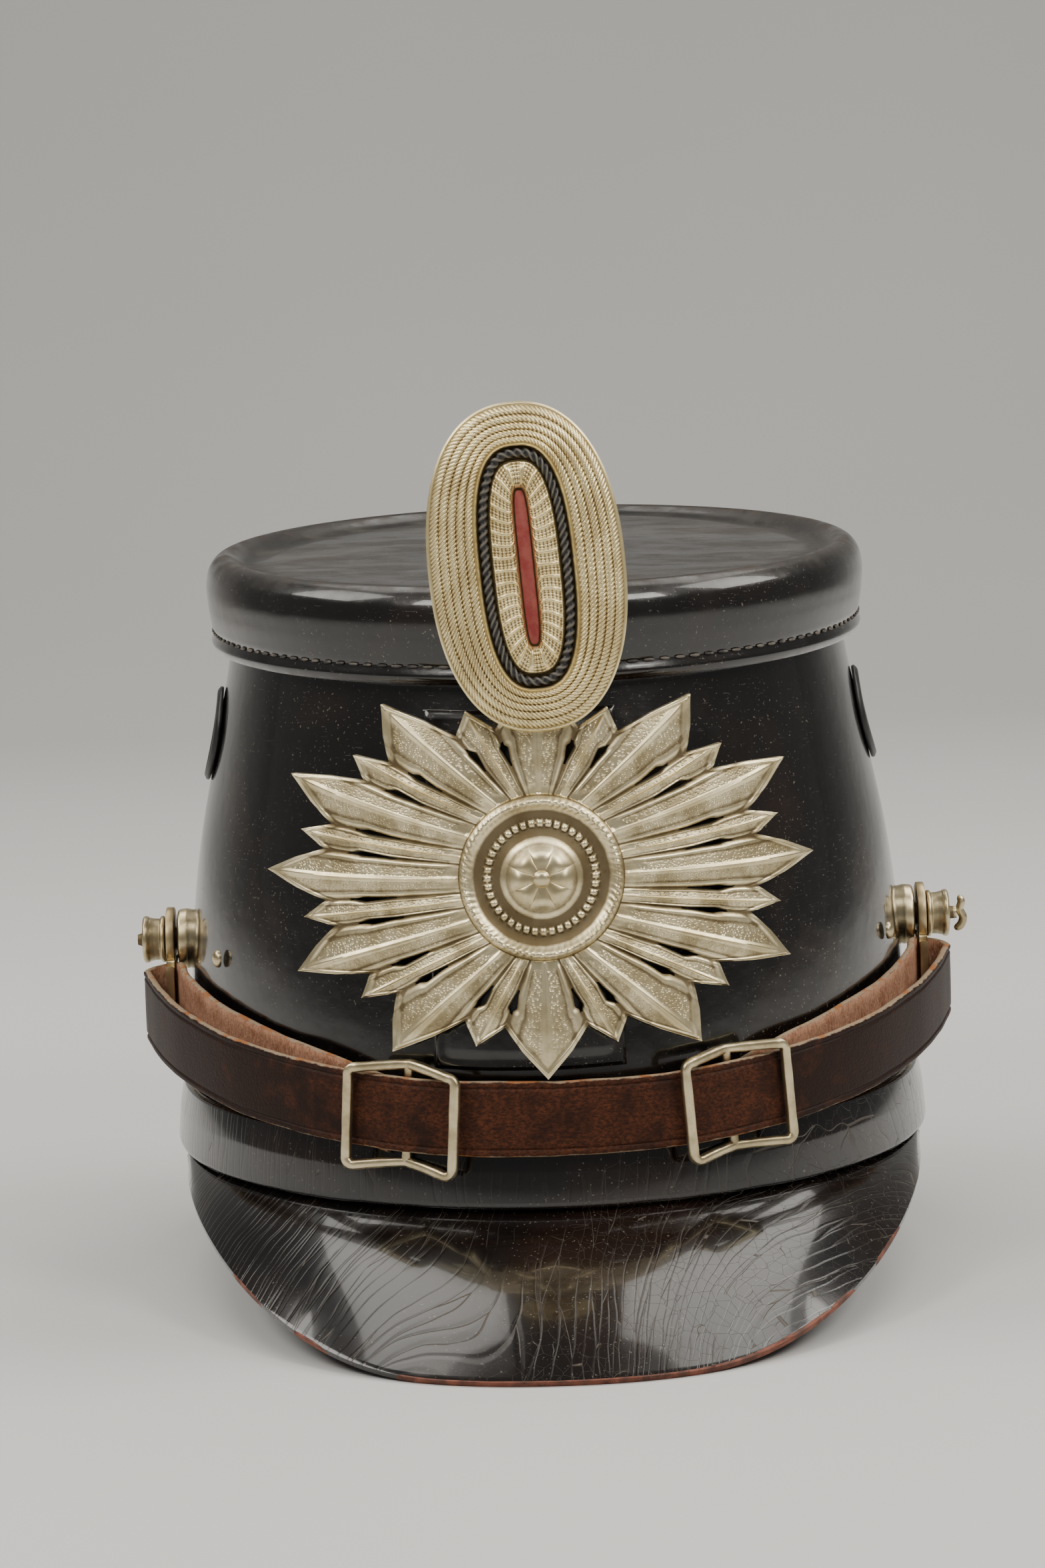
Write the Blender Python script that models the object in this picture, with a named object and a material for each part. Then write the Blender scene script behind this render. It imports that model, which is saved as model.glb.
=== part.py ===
"""A black leather shako with a rayed front plate, an oval cockade and a buckled chin strap.

Metres, +Z up, the front towards -Y and the wearer's left towards +X. The hat rests on the edges of its
two visors at z = 0. Every piece is worked out in the hat's own frame, whose vertical axis runs through
the middle of the head oval, and hangs on one empty that centres the whole hat over the origin.
"""
import math

import bmesh
import bpy
import numpy as np
from mathutils import Matrix, Vector

# ---------------------------------------------------------------- driving dimensions
GAP = 0.0003                      # clearance between pieces that touch
AROUND = 48                       # facets round the crown

# The crown's oval, from its foot to its top. Columns: height, half_width, half_length.
CROWN_SECTIONS = (
    (0.026, 0.0894, 0.1042),
    (0.045, 0.0894, 0.1038),
    (0.060, 0.0890, 0.1030),
    (0.075, 0.0884, 0.1018),
    (0.090, 0.0871, 0.1002),
    (0.105, 0.0850, 0.0978),
    (0.120, 0.0820, 0.0946),
    (0.135, 0.0790, 0.0912),
    (0.149, 0.0763, 0.0878),
    (0.1702, 0.0744, 0.0860),
)
CROWN_WALL = 0.0020
TOP_TILT = math.tan(math.radians(2.4))      # the top slopes down towards the front

# The top piece, seen in section from its lower edge over the rolled rim to the sunken panel.
# Columns: height, half_width.
CAP_OUTSIDE = (
    (0.1525, 0.0791),
    (0.1567, 0.0798),
    (0.1630, 0.0806),
    (0.1686, 0.0808),
    (0.1720, 0.0799),
    (0.1741, 0.0781),
    (0.1749, 0.0757),
    (0.1732, 0.0728),
    (0.1730, 0.0400),
)
CAP_INSIDE = (
    (0.1706, 0.0400),
    (0.1706, 0.0752),
    (0.1665, 0.0782),
    (0.1525, 0.0767),
)
CAP_PANEL_TOP = 0.1733
CAP_PANEL_UNDER = 0.1709
CAP_EXTRA_LENGTH = 0.0120         # how much the top piece's half length exceeds its half width

# The band round the foot, in section. Columns: offset out from the crown, height.
BAND_SECTION = (
    (0.0004, 0.0460),
    (0.0020, 0.0455),
    (0.0038, 0.0312),
    (0.0035, 0.0302),
    (0.0023, 0.0302),
    (0.0021, 0.0372),
    (0.0004, 0.0390),
)

# The visors: where the flange ends, the outline of the edge in plan, and how the edge rises to the sides.
VISOR_FLANGE_TOP = 0.0366
VISOR_FLANGE_IN, VISOR_FLANGE_OUT = 0.0005, 0.0016      # out from the crown, clear of it and of the band
VISOR_ROOT_OUT = 0.0026
VISOR_ROOT_TOP = 0.0292
VISOR_ROOT_UNDER = 0.0026         # how far the root's underside lies below its top
VISOR_THICKNESS = 0.0024
VISOR_UPPER_LIFT = 0.55           # share of the thickness by which the upper side lifts towards the edge
VISOR_EDGE_TOP, VISOR_EDGE_MIDDLE = 0.62, 0.35          # shares of the thickness, up the rounded edge
VISOR_EDGE_ROUND = 0.0004
VISOR_LAND = 0.0018               # width of the flat that the hat stands on
FRONT_VISOR = {
    "facing": -1, "end_angle": 78.0, "edge_half_width": 0.0901, "edge_reach": 0.1440, "edge_centre": 0.0080,
    "edge_power": 2.2, "edge_end_angle": 85.0, "end_height": 0.0250, "flat_share": 0.30, "rise_power": 2.2,
    "crown": 0.0012, "stations": 29,
}
REAR_VISOR = {
    "facing": 1, "end_angle": 62.0, "edge_half_width": 0.0870, "edge_reach": 0.1330, "edge_centre": 0.0,
    "edge_power": 2.3, "edge_end_angle": 70.2, "end_height": 0.0250, "flat_share": 0.35, "rise_power": 1.9,
    "crown": 0.0006, "stations": 21,
}

# The leather pocket behind the plate.
POCKET_LEFT, POCKET_RIGHT = -0.0270, 0.0170
POCKET_BOTTOM, POCKET_TOP = 0.0620, 0.1430
POCKET_THICKNESS = 0.0016
POCKET_BULGE = 0.0020

# The front plate: an oval sunburst of alternating long and short rays.
PLATE_CENTRE_X, PLATE_CENTRE_Z = -0.0010, 0.1060
PLATE_HALF_WIDTH, PLATE_HALF_HEIGHT = 0.0720, 0.0455      # measured along the bent sheet
PLATE_BEND_RADIUS = 0.0800
PLATE_FRONT, PLATE_LEAN = 0.1035, math.tan(math.radians(6.4))
PLATE_RAY_PAIRS = 12
PLATE_THICKNESS = 0.0010
PLATE_DISC_RADIUS = 0.0190
PLATE_DISC = (                    # columns: radius, relief
    (0.0060, 0.0034),
    (0.0095, 0.0012),
    (0.0150, 0.0012),
    (0.0172, 0.0027),
)
PLATE_DISC_TOP = 0.0042
# One pair of rays, a row for each sixth of it. Columns: reach, ridge (0 in a valley, 1 on a crest).
RAY_PAIR = (
    (0.75, 0.0),
    (0.87, 0.6),
    (1.00, 1.0),
    (0.87, 0.6),
    (0.75, 0.0),
    (0.86, 0.9),
)
RAY_VALLEY, RAY_RIDGE = 0.0007, 0.0016
RAY_STATIONS = (0.0, 0.5, 1.0)
SLOT_START, SLOT_END, SLOT_HALF_WIDTH = 0.30, 0.58, 0.0013
POST_OFFSET_X, POST_RADIUS = 0.0340, 0.0024
POST_CLEARANCE = 0.0011           # from the post's axis to the crown, so that its rim keeps the gap

# The cockade: nested ovals, seen from the front.
COCKADE_CENTRE = (-0.0020, -0.1010, 0.1763)
COCKADE_LEAN = math.radians(-4.2)           # in its own plane, the top towards -X
COCKADE_BACK_TILT = math.radians(3.2)       # the top towards the hat
COCKADE_AROUND = 32
COCKADE_DISH = (                  # columns of all its tables: half_width, half_height, relief, power
    (0.0220, 0.0370, 0.0000, 2.3),
    (0.0223, 0.0373, 0.0008, 2.3),
    (0.0196, 0.0346, 0.0023, 2.4),
    (0.0169, 0.0322, 0.0033, 2.45),
    (0.0142, 0.0301, 0.0040, 2.5),
    (0.0114, 0.0281, 0.0045, 2.7),
    (0.0106, 0.0274, 0.0043, 2.7),
    (0.0104, 0.0272, 0.0014, 2.7),
)
COCKADE_DISH_BACK = (
    (0.0112, 0.0280, 0.0004, 2.7),
    (0.0118, 0.0286, 0.0034, 2.7),
    (0.0205, 0.0354, 0.0009, 2.35),
)
COCKADE_ROPE_RADIUS, COCKADE_ROPE_SIDES = 0.0011, 5
COCKADE_ROPE = (0.0091, 0.0258, 0.0014 + GAP + COCKADE_ROPE_RADIUS, 2.7)
COCKADE_CUSHION = (
    (0.0076, 0.0240, 0.0014 + GAP, 2.9),
    (0.0078, 0.0242, 0.0028, 2.9),
    (0.0068, 0.0233, 0.0044, 2.9),
    (0.0046, 0.0212, 0.0052, 2.9),
    (0.0024, 0.0185, 0.0046, 2.7),
    (0.0019, 0.0178, 0.0034, 2.7),
)
COCKADE_CUSHION_FLOOR = 0.0030
COCKADE_INLAY = (
    (0.0015, 0.0174, 0.0030 + GAP, 2.7),
    (0.0014, 0.0173, 0.0040, 2.7),
)
TONGUE_WIDTH, TONGUE_THICKNESS = 0.0090, 0.0009
TONGUE_CENTRE_X = -0.0040
TONGUE_PATH = (                   # columns: distance in front of the hat's axis, height
    (0.0998, 0.1800),
    (0.0991, 0.1650),
    (0.0946, 0.1520),
    (0.0932, 0.1480),
    (0.0894, 0.1445),
    (0.0905, 0.1400),
    (0.0940, 0.1250),
    (0.0967, 0.1120),
)

# The side bosses, turned about an axis across the hat: distance out from the axis, and radius.
BOSS_HEIGHT = 0.0790
BOSS_SIDES = 12
BOSS_PROFILE = (
    (0.0888, 0.0066),
    (0.0893, 0.0074),
    (0.0901, 0.0074),
    (0.0905, 0.0066),
    (0.0914, 0.0065),
    (0.0917, 0.0059),
    (0.0917, 0.0026),
    (0.0946, 0.0026),
)
NUT_PROFILE = (
    (0.0949, 0.0050),
    (0.0952, 0.0056),
    (0.0984, 0.0053),
    (0.0989, 0.0059),
    (0.1000, 0.0058),
    (0.1004, 0.0051),
)
NUT_TIP = {"left": ((0.1006, 0.0016), (0.1018, 0.0014)), "right": ((0.1006, 0.0015), (0.1024, 0.0015))}
FINIAL_RADIUS = 0.0011
FINIAL_PATH = (                   # columns: outward, height
    (0.1019, 0.0748),
    (0.1034, 0.0757),
    (0.1041, 0.0776),
    (0.1033, 0.0797),
    (0.1037, 0.0818),
    (0.1031, 0.0832),
)
RIVET_HEIGHT, RIVET_RADIUS = 0.0808, 0.0021
RIVET_FORWARD = {"left": 0.0460, "right": 0.0370}

# The hanging plates that carry the strap, flat in the YZ plane beyond each boss.
HOOK_INSIDE, HOOK_OUTSIDE = 0.0924, 0.0944
HOOK_EYE_RADIUS, HOOK_HOLE_RADIUS = 0.0079, 0.0030
HOOK_FRONT, HOOK_BACK, HOOK_BOTTOM = -0.0100, 0.0015, 0.0520
HOOK_WINDOW = {"front": -0.0075, "back": -0.0016, "bottom": 0.0554, "top": 0.0747}

# The side vents: round eyelets with a pierced screen.
VENT_FORWARD, VENT_HEIGHT = 0.0060, 0.1308
VENT_SIDES = 16
VENT_HOLE_RADIUS = 0.0088
VENT_PROFILE = (                  # columns: outward from the crown's surface, radius
    (-0.0026, 0.0083),
    (0.0011, 0.0083),
    (0.0009, 0.0116),
    (0.0017, 0.0116),
    (0.0023, 0.0105),
    (0.0023, 0.0090),
    (0.0013, 0.0077),
    (-0.0026, 0.0077),
)
SCREEN_RADIUS, SCREEN_THICKNESS, SCREEN_DEPTH = 0.0074, 0.0006, -0.0012
SCREEN_HOLE_RADIUS, SCREEN_PITCH, SCREEN_RINGS = 0.0015, 0.0044, 1

# The chin strap. Each row is a place on the middle of the strip: its angle round the hat from the
# front, its distance out from the crown and its height.
STRAP_WIDTH, STRAP_THICKNESS = 0.0174, 0.0019
STRAP_OUTER = (                   # columns: angle, offset, height
    (0.0, 0.0046, 0.0511),
    (12.0, 0.0055, 0.0515),
    (22.0, 0.0068, 0.0525),
    (35.0, 0.0072, 0.0544),
    (50.0, 0.0069, 0.0568),
    (65.0, 0.0072, 0.0597),
    (76.0, 0.0084, 0.0619),
    (84.0, 0.0099, 0.0634),
)
STRAP_RETURN = (
    (83.5, 0.0018, 0.0657),
    (75.0, 0.0019, 0.0652),
    (60.0, 0.0020, 0.0625),
    (45.0, 0.0022, 0.0589),
    (36.0, 0.0040, 0.0568),
)
STRAP_END_OFFSET = 0.0042                   # where the return meets the buckle's middle bar
STRAP_END_ANGLE = 2.0                       # and how far short of the bar it stops, in degrees
STRAP_FOLD_CENTRE = (0.0950, -0.0082)       # across and along the hat
STRAP_FOLD_RADIUS = 0.0042
STRAP_FOLD_STEPS = 6
STRAP_STEP = 0.0085                         # length of one facet of the strap

# The buckles, each with its place round the front; the tilt lifts the outer end along the strap.
BUCKLE_WIRE = 0.0010
BUCKLE_HALF_HEIGHT = 0.0114
BUCKLE_CORNER = 0.0018
BUCKLES = {
    "left": {"angle": -20.7, "half_width": 0.0134, "height": 0.0510, "tilt": 4.0, "rise": 0.0012},
    "right": {"angle": 25.4, "half_width": 0.0134, "height": 0.0523, "tilt": 4.5, "rise": 0.0004},
}
BUCKLE_BAR_OFFSET = 0.0044                  # the middle bar, behind the strap
BUCKLE_FRAME_OUT = 0.0020                   # the side bars, out from the strap's middle

SIDES = {"left": -1, "right": 1}            # as the photo shows them, left is towards -X

MATERIALS = {
    "black_leather": ((0.012, 0.010, 0.010), 0.22, 0.0),
    "patent_leather": ((0.010, 0.008, 0.008), 0.12, 0.0),
    "strap_leather": ((0.060, 0.026, 0.018), 0.50, 0.0),
    "nickel_silver": ((0.62, 0.58, 0.48), 0.34, 1.0),
    "cockade_silver": ((0.72, 0.67, 0.54), 0.38, 1.0),
    "black_metal": ((0.020, 0.020, 0.022), 0.40, 0.3),
    "red_paint": ((0.34, 0.05, 0.05), 0.70, 0.0),
}


# ---------------------------------------------------------------- helpers
def new_material(name):
    """A Principled material with the colour, roughness and metallic value of one finish."""
    colour, roughness, metallic = MATERIALS[name]
    material = bpy.data.materials.new(name)
    material.use_nodes = True
    shader = material.node_tree.nodes["Principled BSDF"]
    shader.inputs["Base Color"].default_value = (*colour, 1.0)
    shader.inputs["Roughness"].default_value = roughness
    shader.inputs["Metallic"].default_value = metallic
    material.diffuse_color = (*colour, 1.0)
    return material


def add_object(name, mesh_source, material, frame):
    """Turn a bmesh into a named object that hangs on the hat's frame, with its faces outwards."""
    bmesh.ops.recalc_face_normals(mesh_source, faces=mesh_source.faces)
    mesh = bpy.data.meshes.new(name)
    mesh_source.to_mesh(mesh)
    mesh_source.free()
    mesh.shade_smooth()
    mesh.set_sharp_from_angle(angle=math.radians(35))
    mesh.materials.append(material)
    thing = bpy.data.objects.new(name, mesh)
    thing.parent = frame
    bpy.context.scene.collection.objects.link(thing)
    return thing


def loft(sections, ring=False):
    """A closed solid through sections, each a closed loop of points; a ring also joins last to first."""
    solid = bmesh.new()
    loops = [[solid.verts.new(point) for point in section] for section in sections]
    count = len(loops[0])
    pairs = zip(loops, loops[1:] + loops[:1]) if ring else zip(loops, loops[1:])
    for near, far in pairs:
        for k in range(count):
            after = (k + 1) % count
            solid.faces.new((near[k], near[after], far[after], far[k]))
    if not ring:
        solid.faces.new(loops[0])
        solid.faces.new(reversed(loops[-1]))
    return solid


def domed(rows, first_pole, last_pole):
    """A closed solid through nested loops, closed at each end by a fan of faces to a pole."""
    solid = bmesh.new()
    loops = [[solid.verts.new(point) for point in row] for row in rows]
    count = len(loops[0])
    for near, far in zip(loops, loops[1:]):
        for k in range(count):
            after = (k + 1) % count
            solid.faces.new((near[k], near[after], far[after], far[k]))
    for loop, pole in ((loops[0], first_pole), (loops[-1], last_pole)):
        tip = solid.verts.new(pole)
        for k in range(count):
            solid.faces.new((loop[k], loop[(k + 1) % count], tip))
    return solid


def slab(front, back):
    """A closed sheet between two grids of points of the same shape."""
    solid = bmesh.new()
    rows, columns = len(front), len(front[0])
    faces = [[[solid.verts.new(point) for point in row] for row in grid] for grid in (front, back)]
    for grid in faces:
        for r in range(rows - 1):
            for c in range(columns - 1):
                solid.faces.new((grid[r][c], grid[r][c + 1], grid[r + 1][c + 1], grid[r + 1][c]))
    border = [(0, c) for c in range(columns)] + [(r, columns - 1) for r in range(1, rows)]
    border += [(rows - 1, c) for c in range(columns - 2, -1, -1)] + [(r, 0) for r in range(rows - 2, 0, -1)]
    for (r, c), (r_next, c_next) in zip(border, border[1:] + border[:1]):
        solid.faces.new((faces[0][r][c], faces[0][r_next][c_next], faces[1][r_next][c_next], faces[1][r][c]))
    return solid


def turned(profile, sides, place):
    """A solid turned about its own X axis from (outward, radius) rows, then moved by a matrix."""
    solid = bmesh.new()
    rows = [(profile[0][0], 0.0), *profile, (profile[-1][0], 0.0)]
    verts = [solid.verts.new((outward, radius, 0.0)) for outward, radius in rows]
    edges = [solid.edges.new(pair) for pair in zip(verts, verts[1:])]
    bmesh.ops.spin(solid, geom=verts + edges, axis=(1, 0, 0), cent=(0, 0, 0), steps=sides,
                   angle=2 * math.pi, use_merge=True)
    bmesh.ops.remove_doubles(solid, verts=solid.verts, dist=1e-6)
    bmesh.ops.transform(solid, matrix=place, verts=solid.verts)
    return solid


def helper(name, solid, frame):
    """A hidden object that only shapes another one through a Boolean."""
    bmesh.ops.recalc_face_normals(solid, faces=solid.faces)
    mesh = bpy.data.meshes.new(name)
    solid.to_mesh(mesh)
    solid.free()
    thing = bpy.data.objects.new(name, mesh)
    thing.parent = frame
    thing.hide_render = True
    thing.display_type = "WIRE"
    bpy.context.scene.collection.objects.link(thing)
    return thing


def combine(thing, other, operation):
    """Cut away or add a helper's shape with an exact Boolean."""
    modifier = thing.modifiers.new(other.name, "BOOLEAN")
    modifier.operation = operation
    modifier.object = other


def tube(path, radius, sides, ring=False):
    """A round bar along a path: a loft of small polygons square to the path."""
    points = [Vector(point) for point in path]
    sections = []
    for k, point in enumerate(points):
        before = points[k - 1] if ring or k > 0 else point
        after = points[(k + 1) % len(points)] if ring or k < len(points) - 1 else point
        along = (after - before).normalized()
        across = along.cross(Vector((0, -1, 0.15))).normalized()
        up = across.cross(along)
        angles = [2 * math.pi * (n + 0.5) / sides for n in range(sides)]
        sections.append([point + radius * (math.cos(a) * across + math.sin(a) * up) for a in angles])
    return loft(sections, ring)


# ---------------------------------------------------------------- the hat's own surfaces
def crown_oval(height):
    """Half width and half length of the crown at a height."""
    table = np.array(CROWN_SECTIONS)
    return tuple(float(np.interp(height, table[:, 0], table[:, k])) for k in (1, 2))


def round_crown(angle, height, offset=0.0):
    """A point round the crown: angle 0 at the front and 90 at +X, offset measured square to the oval."""
    half_width, half_length = crown_oval(height)
    x, y = half_width * math.sin(angle), -half_length * math.cos(angle)
    normal = crown_normal(angle, height)
    return Vector((x + offset * normal.x, y + offset * normal.y, height))


def crown_normal(angle, height):
    """The level direction square to the crown's oval."""
    half_width, half_length = crown_oval(height)
    return Vector((math.sin(angle) / half_width, -math.cos(angle) / half_length, 0.0)).normalized()


def turn_angles(count):
    return [2 * math.pi * k / count for k in range(count)]


def crown_body(material, frame):
    """The crown's wall: an open tube whose top follows the tilt of the top piece, with two vent holes."""
    top = CROWN_SECTIONS[-1][0]
    outside = [row[0] for row in CROWN_SECTIONS]
    inside = [CROWN_SECTIONS[k][0] for k in (9, 6, 4, 0)]
    sections = []
    for angle in turn_angles(AROUND):
        section = []
        for height, offset in [(h, 0.0) for h in outside] + [(h, -CROWN_WALL) for h in inside]:
            point = round_crown(angle, height, offset)
            if height == top:
                point.z += point.y * TOP_TILT
            section.append(point)
        sections.append(section)
    body = add_object("crown_body", loft(sections, ring=True), material, frame)
    for side in SIDES:
        cutter = turned(((-0.006, VENT_HOLE_RADIUS), (0.006, VENT_HOLE_RADIUS)), VENT_SIDES, vent_place(side))
        combine(body, helper(f"vent_cutter_{side}", cutter, frame), "DIFFERENCE")


def cap_loop(height, half_width, offset_length=CAP_EXTRA_LENGTH):
    half_length = half_width + offset_length
    points = []
    for angle in turn_angles(AROUND):
        y = -half_length * math.cos(angle)
        points.append(Vector((half_width * math.sin(angle), y, height + y * TOP_TILT)))
    return points


def crown_cap(material, frame):
    """The top piece: a shallow lid with a rolled rim, whose panel lies a little below the rim."""
    rows = [cap_loop(height, half_width) for height, half_width in reversed(CAP_OUTSIDE)]
    rows += [cap_loop(height, half_width) for height, half_width in reversed(CAP_INSIDE)]
    add_object("crown_cap", domed(rows, (0, 0, CAP_PANEL_TOP), (0, 0, CAP_PANEL_UNDER)), material, frame)


def base_band(material, frame):
    """The band round the foot, which covers the top of the visors' flanges."""
    sections = [[round_crown(angle, height, offset) for offset, height in BAND_SECTION]
                for angle in turn_angles(AROUND)]
    add_object("base_band", loft(sections, ring=True), material, frame)


def visor(name, shape, material, frame):
    """A visor: flange up the crown under the band, then a sloping sheet out to its edge.

    The edge is a superellipse in plan. Its height is zero over the middle share of the width, where the
    hat stands on it, and rises as a power of the distance beyond that towards the ends.
    """
    facing = shape["facing"]
    sections = []
    for k in range(shape["stations"]):
        share = 2 * k / (shape["stations"] - 1) - 1
        root_angle = math.radians(shape["end_angle"]) * share
        edge_angle = math.radians(shape["edge_end_angle"]) * share
        power = 2 / shape["edge_power"]
        edge_x = math.copysign(shape["edge_half_width"] * abs(math.sin(edge_angle)) ** power, share)
        edge_y = shape["edge_centre"] + shape["edge_reach"] * math.cos(edge_angle) ** power
        width_share = abs(edge_x) / shape["edge_half_width"]
        beyond = max(0.0, (width_share - shape["flat_share"]) / (1 - shape["flat_share"]))
        edge_z = shape["end_height"] * beyond ** shape["rise_power"]

        def at_root(offset, height):
            point = round_crown(root_angle, height, offset)
            return Vector((point.x, -facing * point.y, point.z))

        root_top = at_root(VISOR_ROOT_OUT, VISOR_ROOT_TOP)
        edge = Vector((edge_x, facing * edge_y, edge_z))
        run = edge - root_top
        along = run.normalized()
        level = Vector((along.x, along.y, 0.0)).normalized()
        above = Vector((-along.z * level.x, -along.z * level.y, math.hypot(along.x, along.y)))
        thickness = min(VISOR_THICKNESS, 0.5 * run.length)
        swell = shape["crown"] * min(1.0, run.length / 0.03)
        upper = [root_top + run * t + above * (thickness * t * VISOR_UPPER_LIFT + swell * math.sin(math.pi * t))
                 for t in (1 / 3, 2 / 3)]
        lower = [point - above * thickness for point in upper]
        land = min(VISOR_LAND, 0.3 * run.length)
        sections.append([
            at_root(VISOR_FLANGE_OUT, VISOR_FLANGE_TOP),
            at_root(VISOR_FLANGE_OUT, VISOR_ROOT_TOP + 0.0008),
            root_top,
            *upper,
            edge + above * thickness * VISOR_EDGE_TOP - level * VISOR_EDGE_ROUND,
            edge + Vector((0, 0, thickness * VISOR_EDGE_MIDDLE)),
            edge - level * VISOR_EDGE_ROUND,
            edge - level * (VISOR_EDGE_ROUND + land),
            *reversed(lower),
            at_root(VISOR_FLANGE_IN + 0.0002, VISOR_ROOT_TOP - VISOR_ROOT_UNDER),
            at_root(VISOR_FLANGE_IN, VISOR_ROOT_TOP - 0.0006),
            at_root(VISOR_FLANGE_IN, VISOR_FLANGE_TOP),
        ])
    add_object(name, loft(sections), material, frame)


def cockade_pocket(material, frame):
    """The leather strip on the front of the crown, bowed out in the middle to take the tongue."""
    heights = np.linspace(POCKET_BOTTOM, POCKET_TOP, 6)
    shares = (0.0, 0.06, 0.30, 0.50, 0.70, 0.94, 1.0)
    grids = []
    for depth in (POCKET_THICKNESS, 0.0):
        grid = []
        for height in heights:
            half_width, half_length = crown_oval(height)
            row = []
            for share in shares:
                x = POCKET_LEFT + (POCKET_RIGHT - POCKET_LEFT) * share
                y = -half_length * math.sqrt(1 - (x / half_width) ** 2)
                bulge = POCKET_BULGE * min(1.0, 3.2 * min(share, 1 - share))
                row.append((x, y - GAP - 0.0002 - bulge - depth, height))
            grid.append(row)
        grids.append(grid)
    add_object("cockade_pocket", slab(*grids), material, frame)


# ---------------------------------------------------------------- the front plate
def plate_place(across, up, relief):
    """Bend a flat plate point round the crown: a leaning cylinder, with relief square to it."""
    bend = across / PLATE_BEND_RADIUS
    height = PLATE_CENTRE_Z + up
    x = PLATE_CENTRE_X + (PLATE_BEND_RADIUS + relief) * math.sin(bend)
    depth = PLATE_FRONT - PLATE_LEAN * up - PLATE_BEND_RADIUS
    return Vector((x, -depth - (PLATE_BEND_RADIUS + relief) * math.cos(bend), height))


def plate_point(turn, share, reach):
    """Flat position on the rays: share 0 on the disc's edge, 1 at the tip of a ray of that reach."""
    disc = PLATE_DISC_RADIUS * (1 - share)
    across = (disc + share * reach * PLATE_HALF_WIDTH) * math.cos(turn)
    up = (disc + share * reach * PLATE_HALF_HEIGHT) * math.sin(turn)
    return across, up


def front_plate(material, frame):
    """The sunburst: a stepped disc, then rays of two lengths with a ridge along each, slots between."""
    columns = PLATE_RAY_PAIRS * len(RAY_PAIR)
    turns = [2 * math.pi * (k - 2) / columns for k in range(columns)]
    rays = [RAY_PAIR[k % len(RAY_PAIR)] for k in range(columns)]
    rows = []
    for radius, relief in PLATE_DISC:
        rows.append([plate_place(radius * math.cos(turn), radius * math.sin(turn), relief) for turn in turns])
    for share in RAY_STATIONS:
        row = []
        for turn, (reach, ridge) in zip(turns, rays):
            fullness = math.sin(math.pi * (0.12 + 0.76 * share))
            relief = RAY_VALLEY + (RAY_RIDGE * ridge) * fullness
            row.append(plate_place(*plate_point(turn, share, reach), relief))
        rows.append(row)
    for share in (1.0, 0.0):
        rows.append([plate_place(*plate_point(turn, share, reach), -PLATE_THICKNESS * 0.3)
                     for turn, (reach, _) in zip(turns, rays)])
    solid = domed(rows, plate_place(0, 0, PLATE_DISC_TOP), plate_place(0, 0, -PLATE_THICKNESS * 0.3))
    plate = add_object("front_plate", solid, material, frame)
    combine(plate, helper("plate_slots", plate_slots(turns, rays), frame), "DIFFERENCE")
    for side, sign in SIDES.items():
        back = plate_place(sign * POST_OFFSET_X, 0.0, 0.0)
        facing = Vector((math.sin(sign * POST_OFFSET_X / PLATE_BEND_RADIUS),
                         -math.cos(sign * POST_OFFSET_X / PLATE_BEND_RADIUS), 0.0))
        length = post_length(back, facing)
        turn = Matrix.Translation(back) @ facing.to_track_quat("X", "Z").to_matrix().to_4x4()
        post = turned(((-length, POST_RADIUS), (0.0002, POST_RADIUS)), 8, turn)
        combine(plate, helper(f"plate_post_{side}", post, frame), "UNION")


def post_length(start, facing):
    """How far a post runs back from the plate before it meets the crown, less the gap."""
    half_width, half_length = crown_oval(start.z + POST_RADIUS)
    length = 0.0
    while length < 0.03:
        point = start - facing * length
        if math.hypot(point.x / half_width, point.y / half_length) < 1 + POST_CLEARANCE / half_width:
            break
        length += 0.0001
    return length


def plate_slots(turns, rays):
    """One closed cutter for each slot: a slim kite-shaped prism along the valley between two rays."""
    cutters = bmesh.new()
    for turn, (_, ridge) in zip(turns, rays):
        if ridge > 0:
            continue
        along = Vector(plate_point(turn, SLOT_END, 0.9)) - Vector(plate_point(turn, SLOT_START, 0.9))
        across = Vector((-along.y, along.x)).normalized() * SLOT_HALF_WIDTH
        start, end = (Vector(plate_point(turn, share, 0.9)) for share in (SLOT_START, SLOT_END))
        wide = start.lerp(end, 0.65)
        outline = [start, wide - across, end, wide + across]
        layers = [[cutters.verts.new(plate_place(p.x, p.y, relief)) for p in outline]
                  for relief in (-0.0030, 0.0040)]
        count = len(outline)
        for k in range(count):
            after = (k + 1) % count
            cutters.faces.new((layers[0][k], layers[0][after], layers[1][after], layers[1][k]))
        cutters.faces.new(layers[0])
        cutters.faces.new(reversed(layers[1]))
    return cutters


# ---------------------------------------------------------------- the cockade
def cockade_place():
    """The cockade's own frame: X across, Z up, and its face towards -Y, leaning as the real one does."""
    return (Matrix.Translation(COCKADE_CENTRE) @ Matrix.Rotation(-COCKADE_BACK_TILT, 4, "X")
            @ Matrix.Rotation(COCKADE_LEAN, 4, "Y"))


def oval_loop(half_width, half_height, relief, power):
    """Points round a superellipse in the cockade's frame, raised towards the front by the relief."""
    points = []
    for angle in turn_angles(COCKADE_AROUND):
        across, up = math.cos(angle), math.sin(angle)
        x = math.copysign(half_width * abs(across) ** (2 / power), across)
        z = math.copysign(half_height * abs(up) ** (2 / power), up)
        points.append(cockade_place() @ Vector((x, -relief, z)))
    return points


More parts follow.
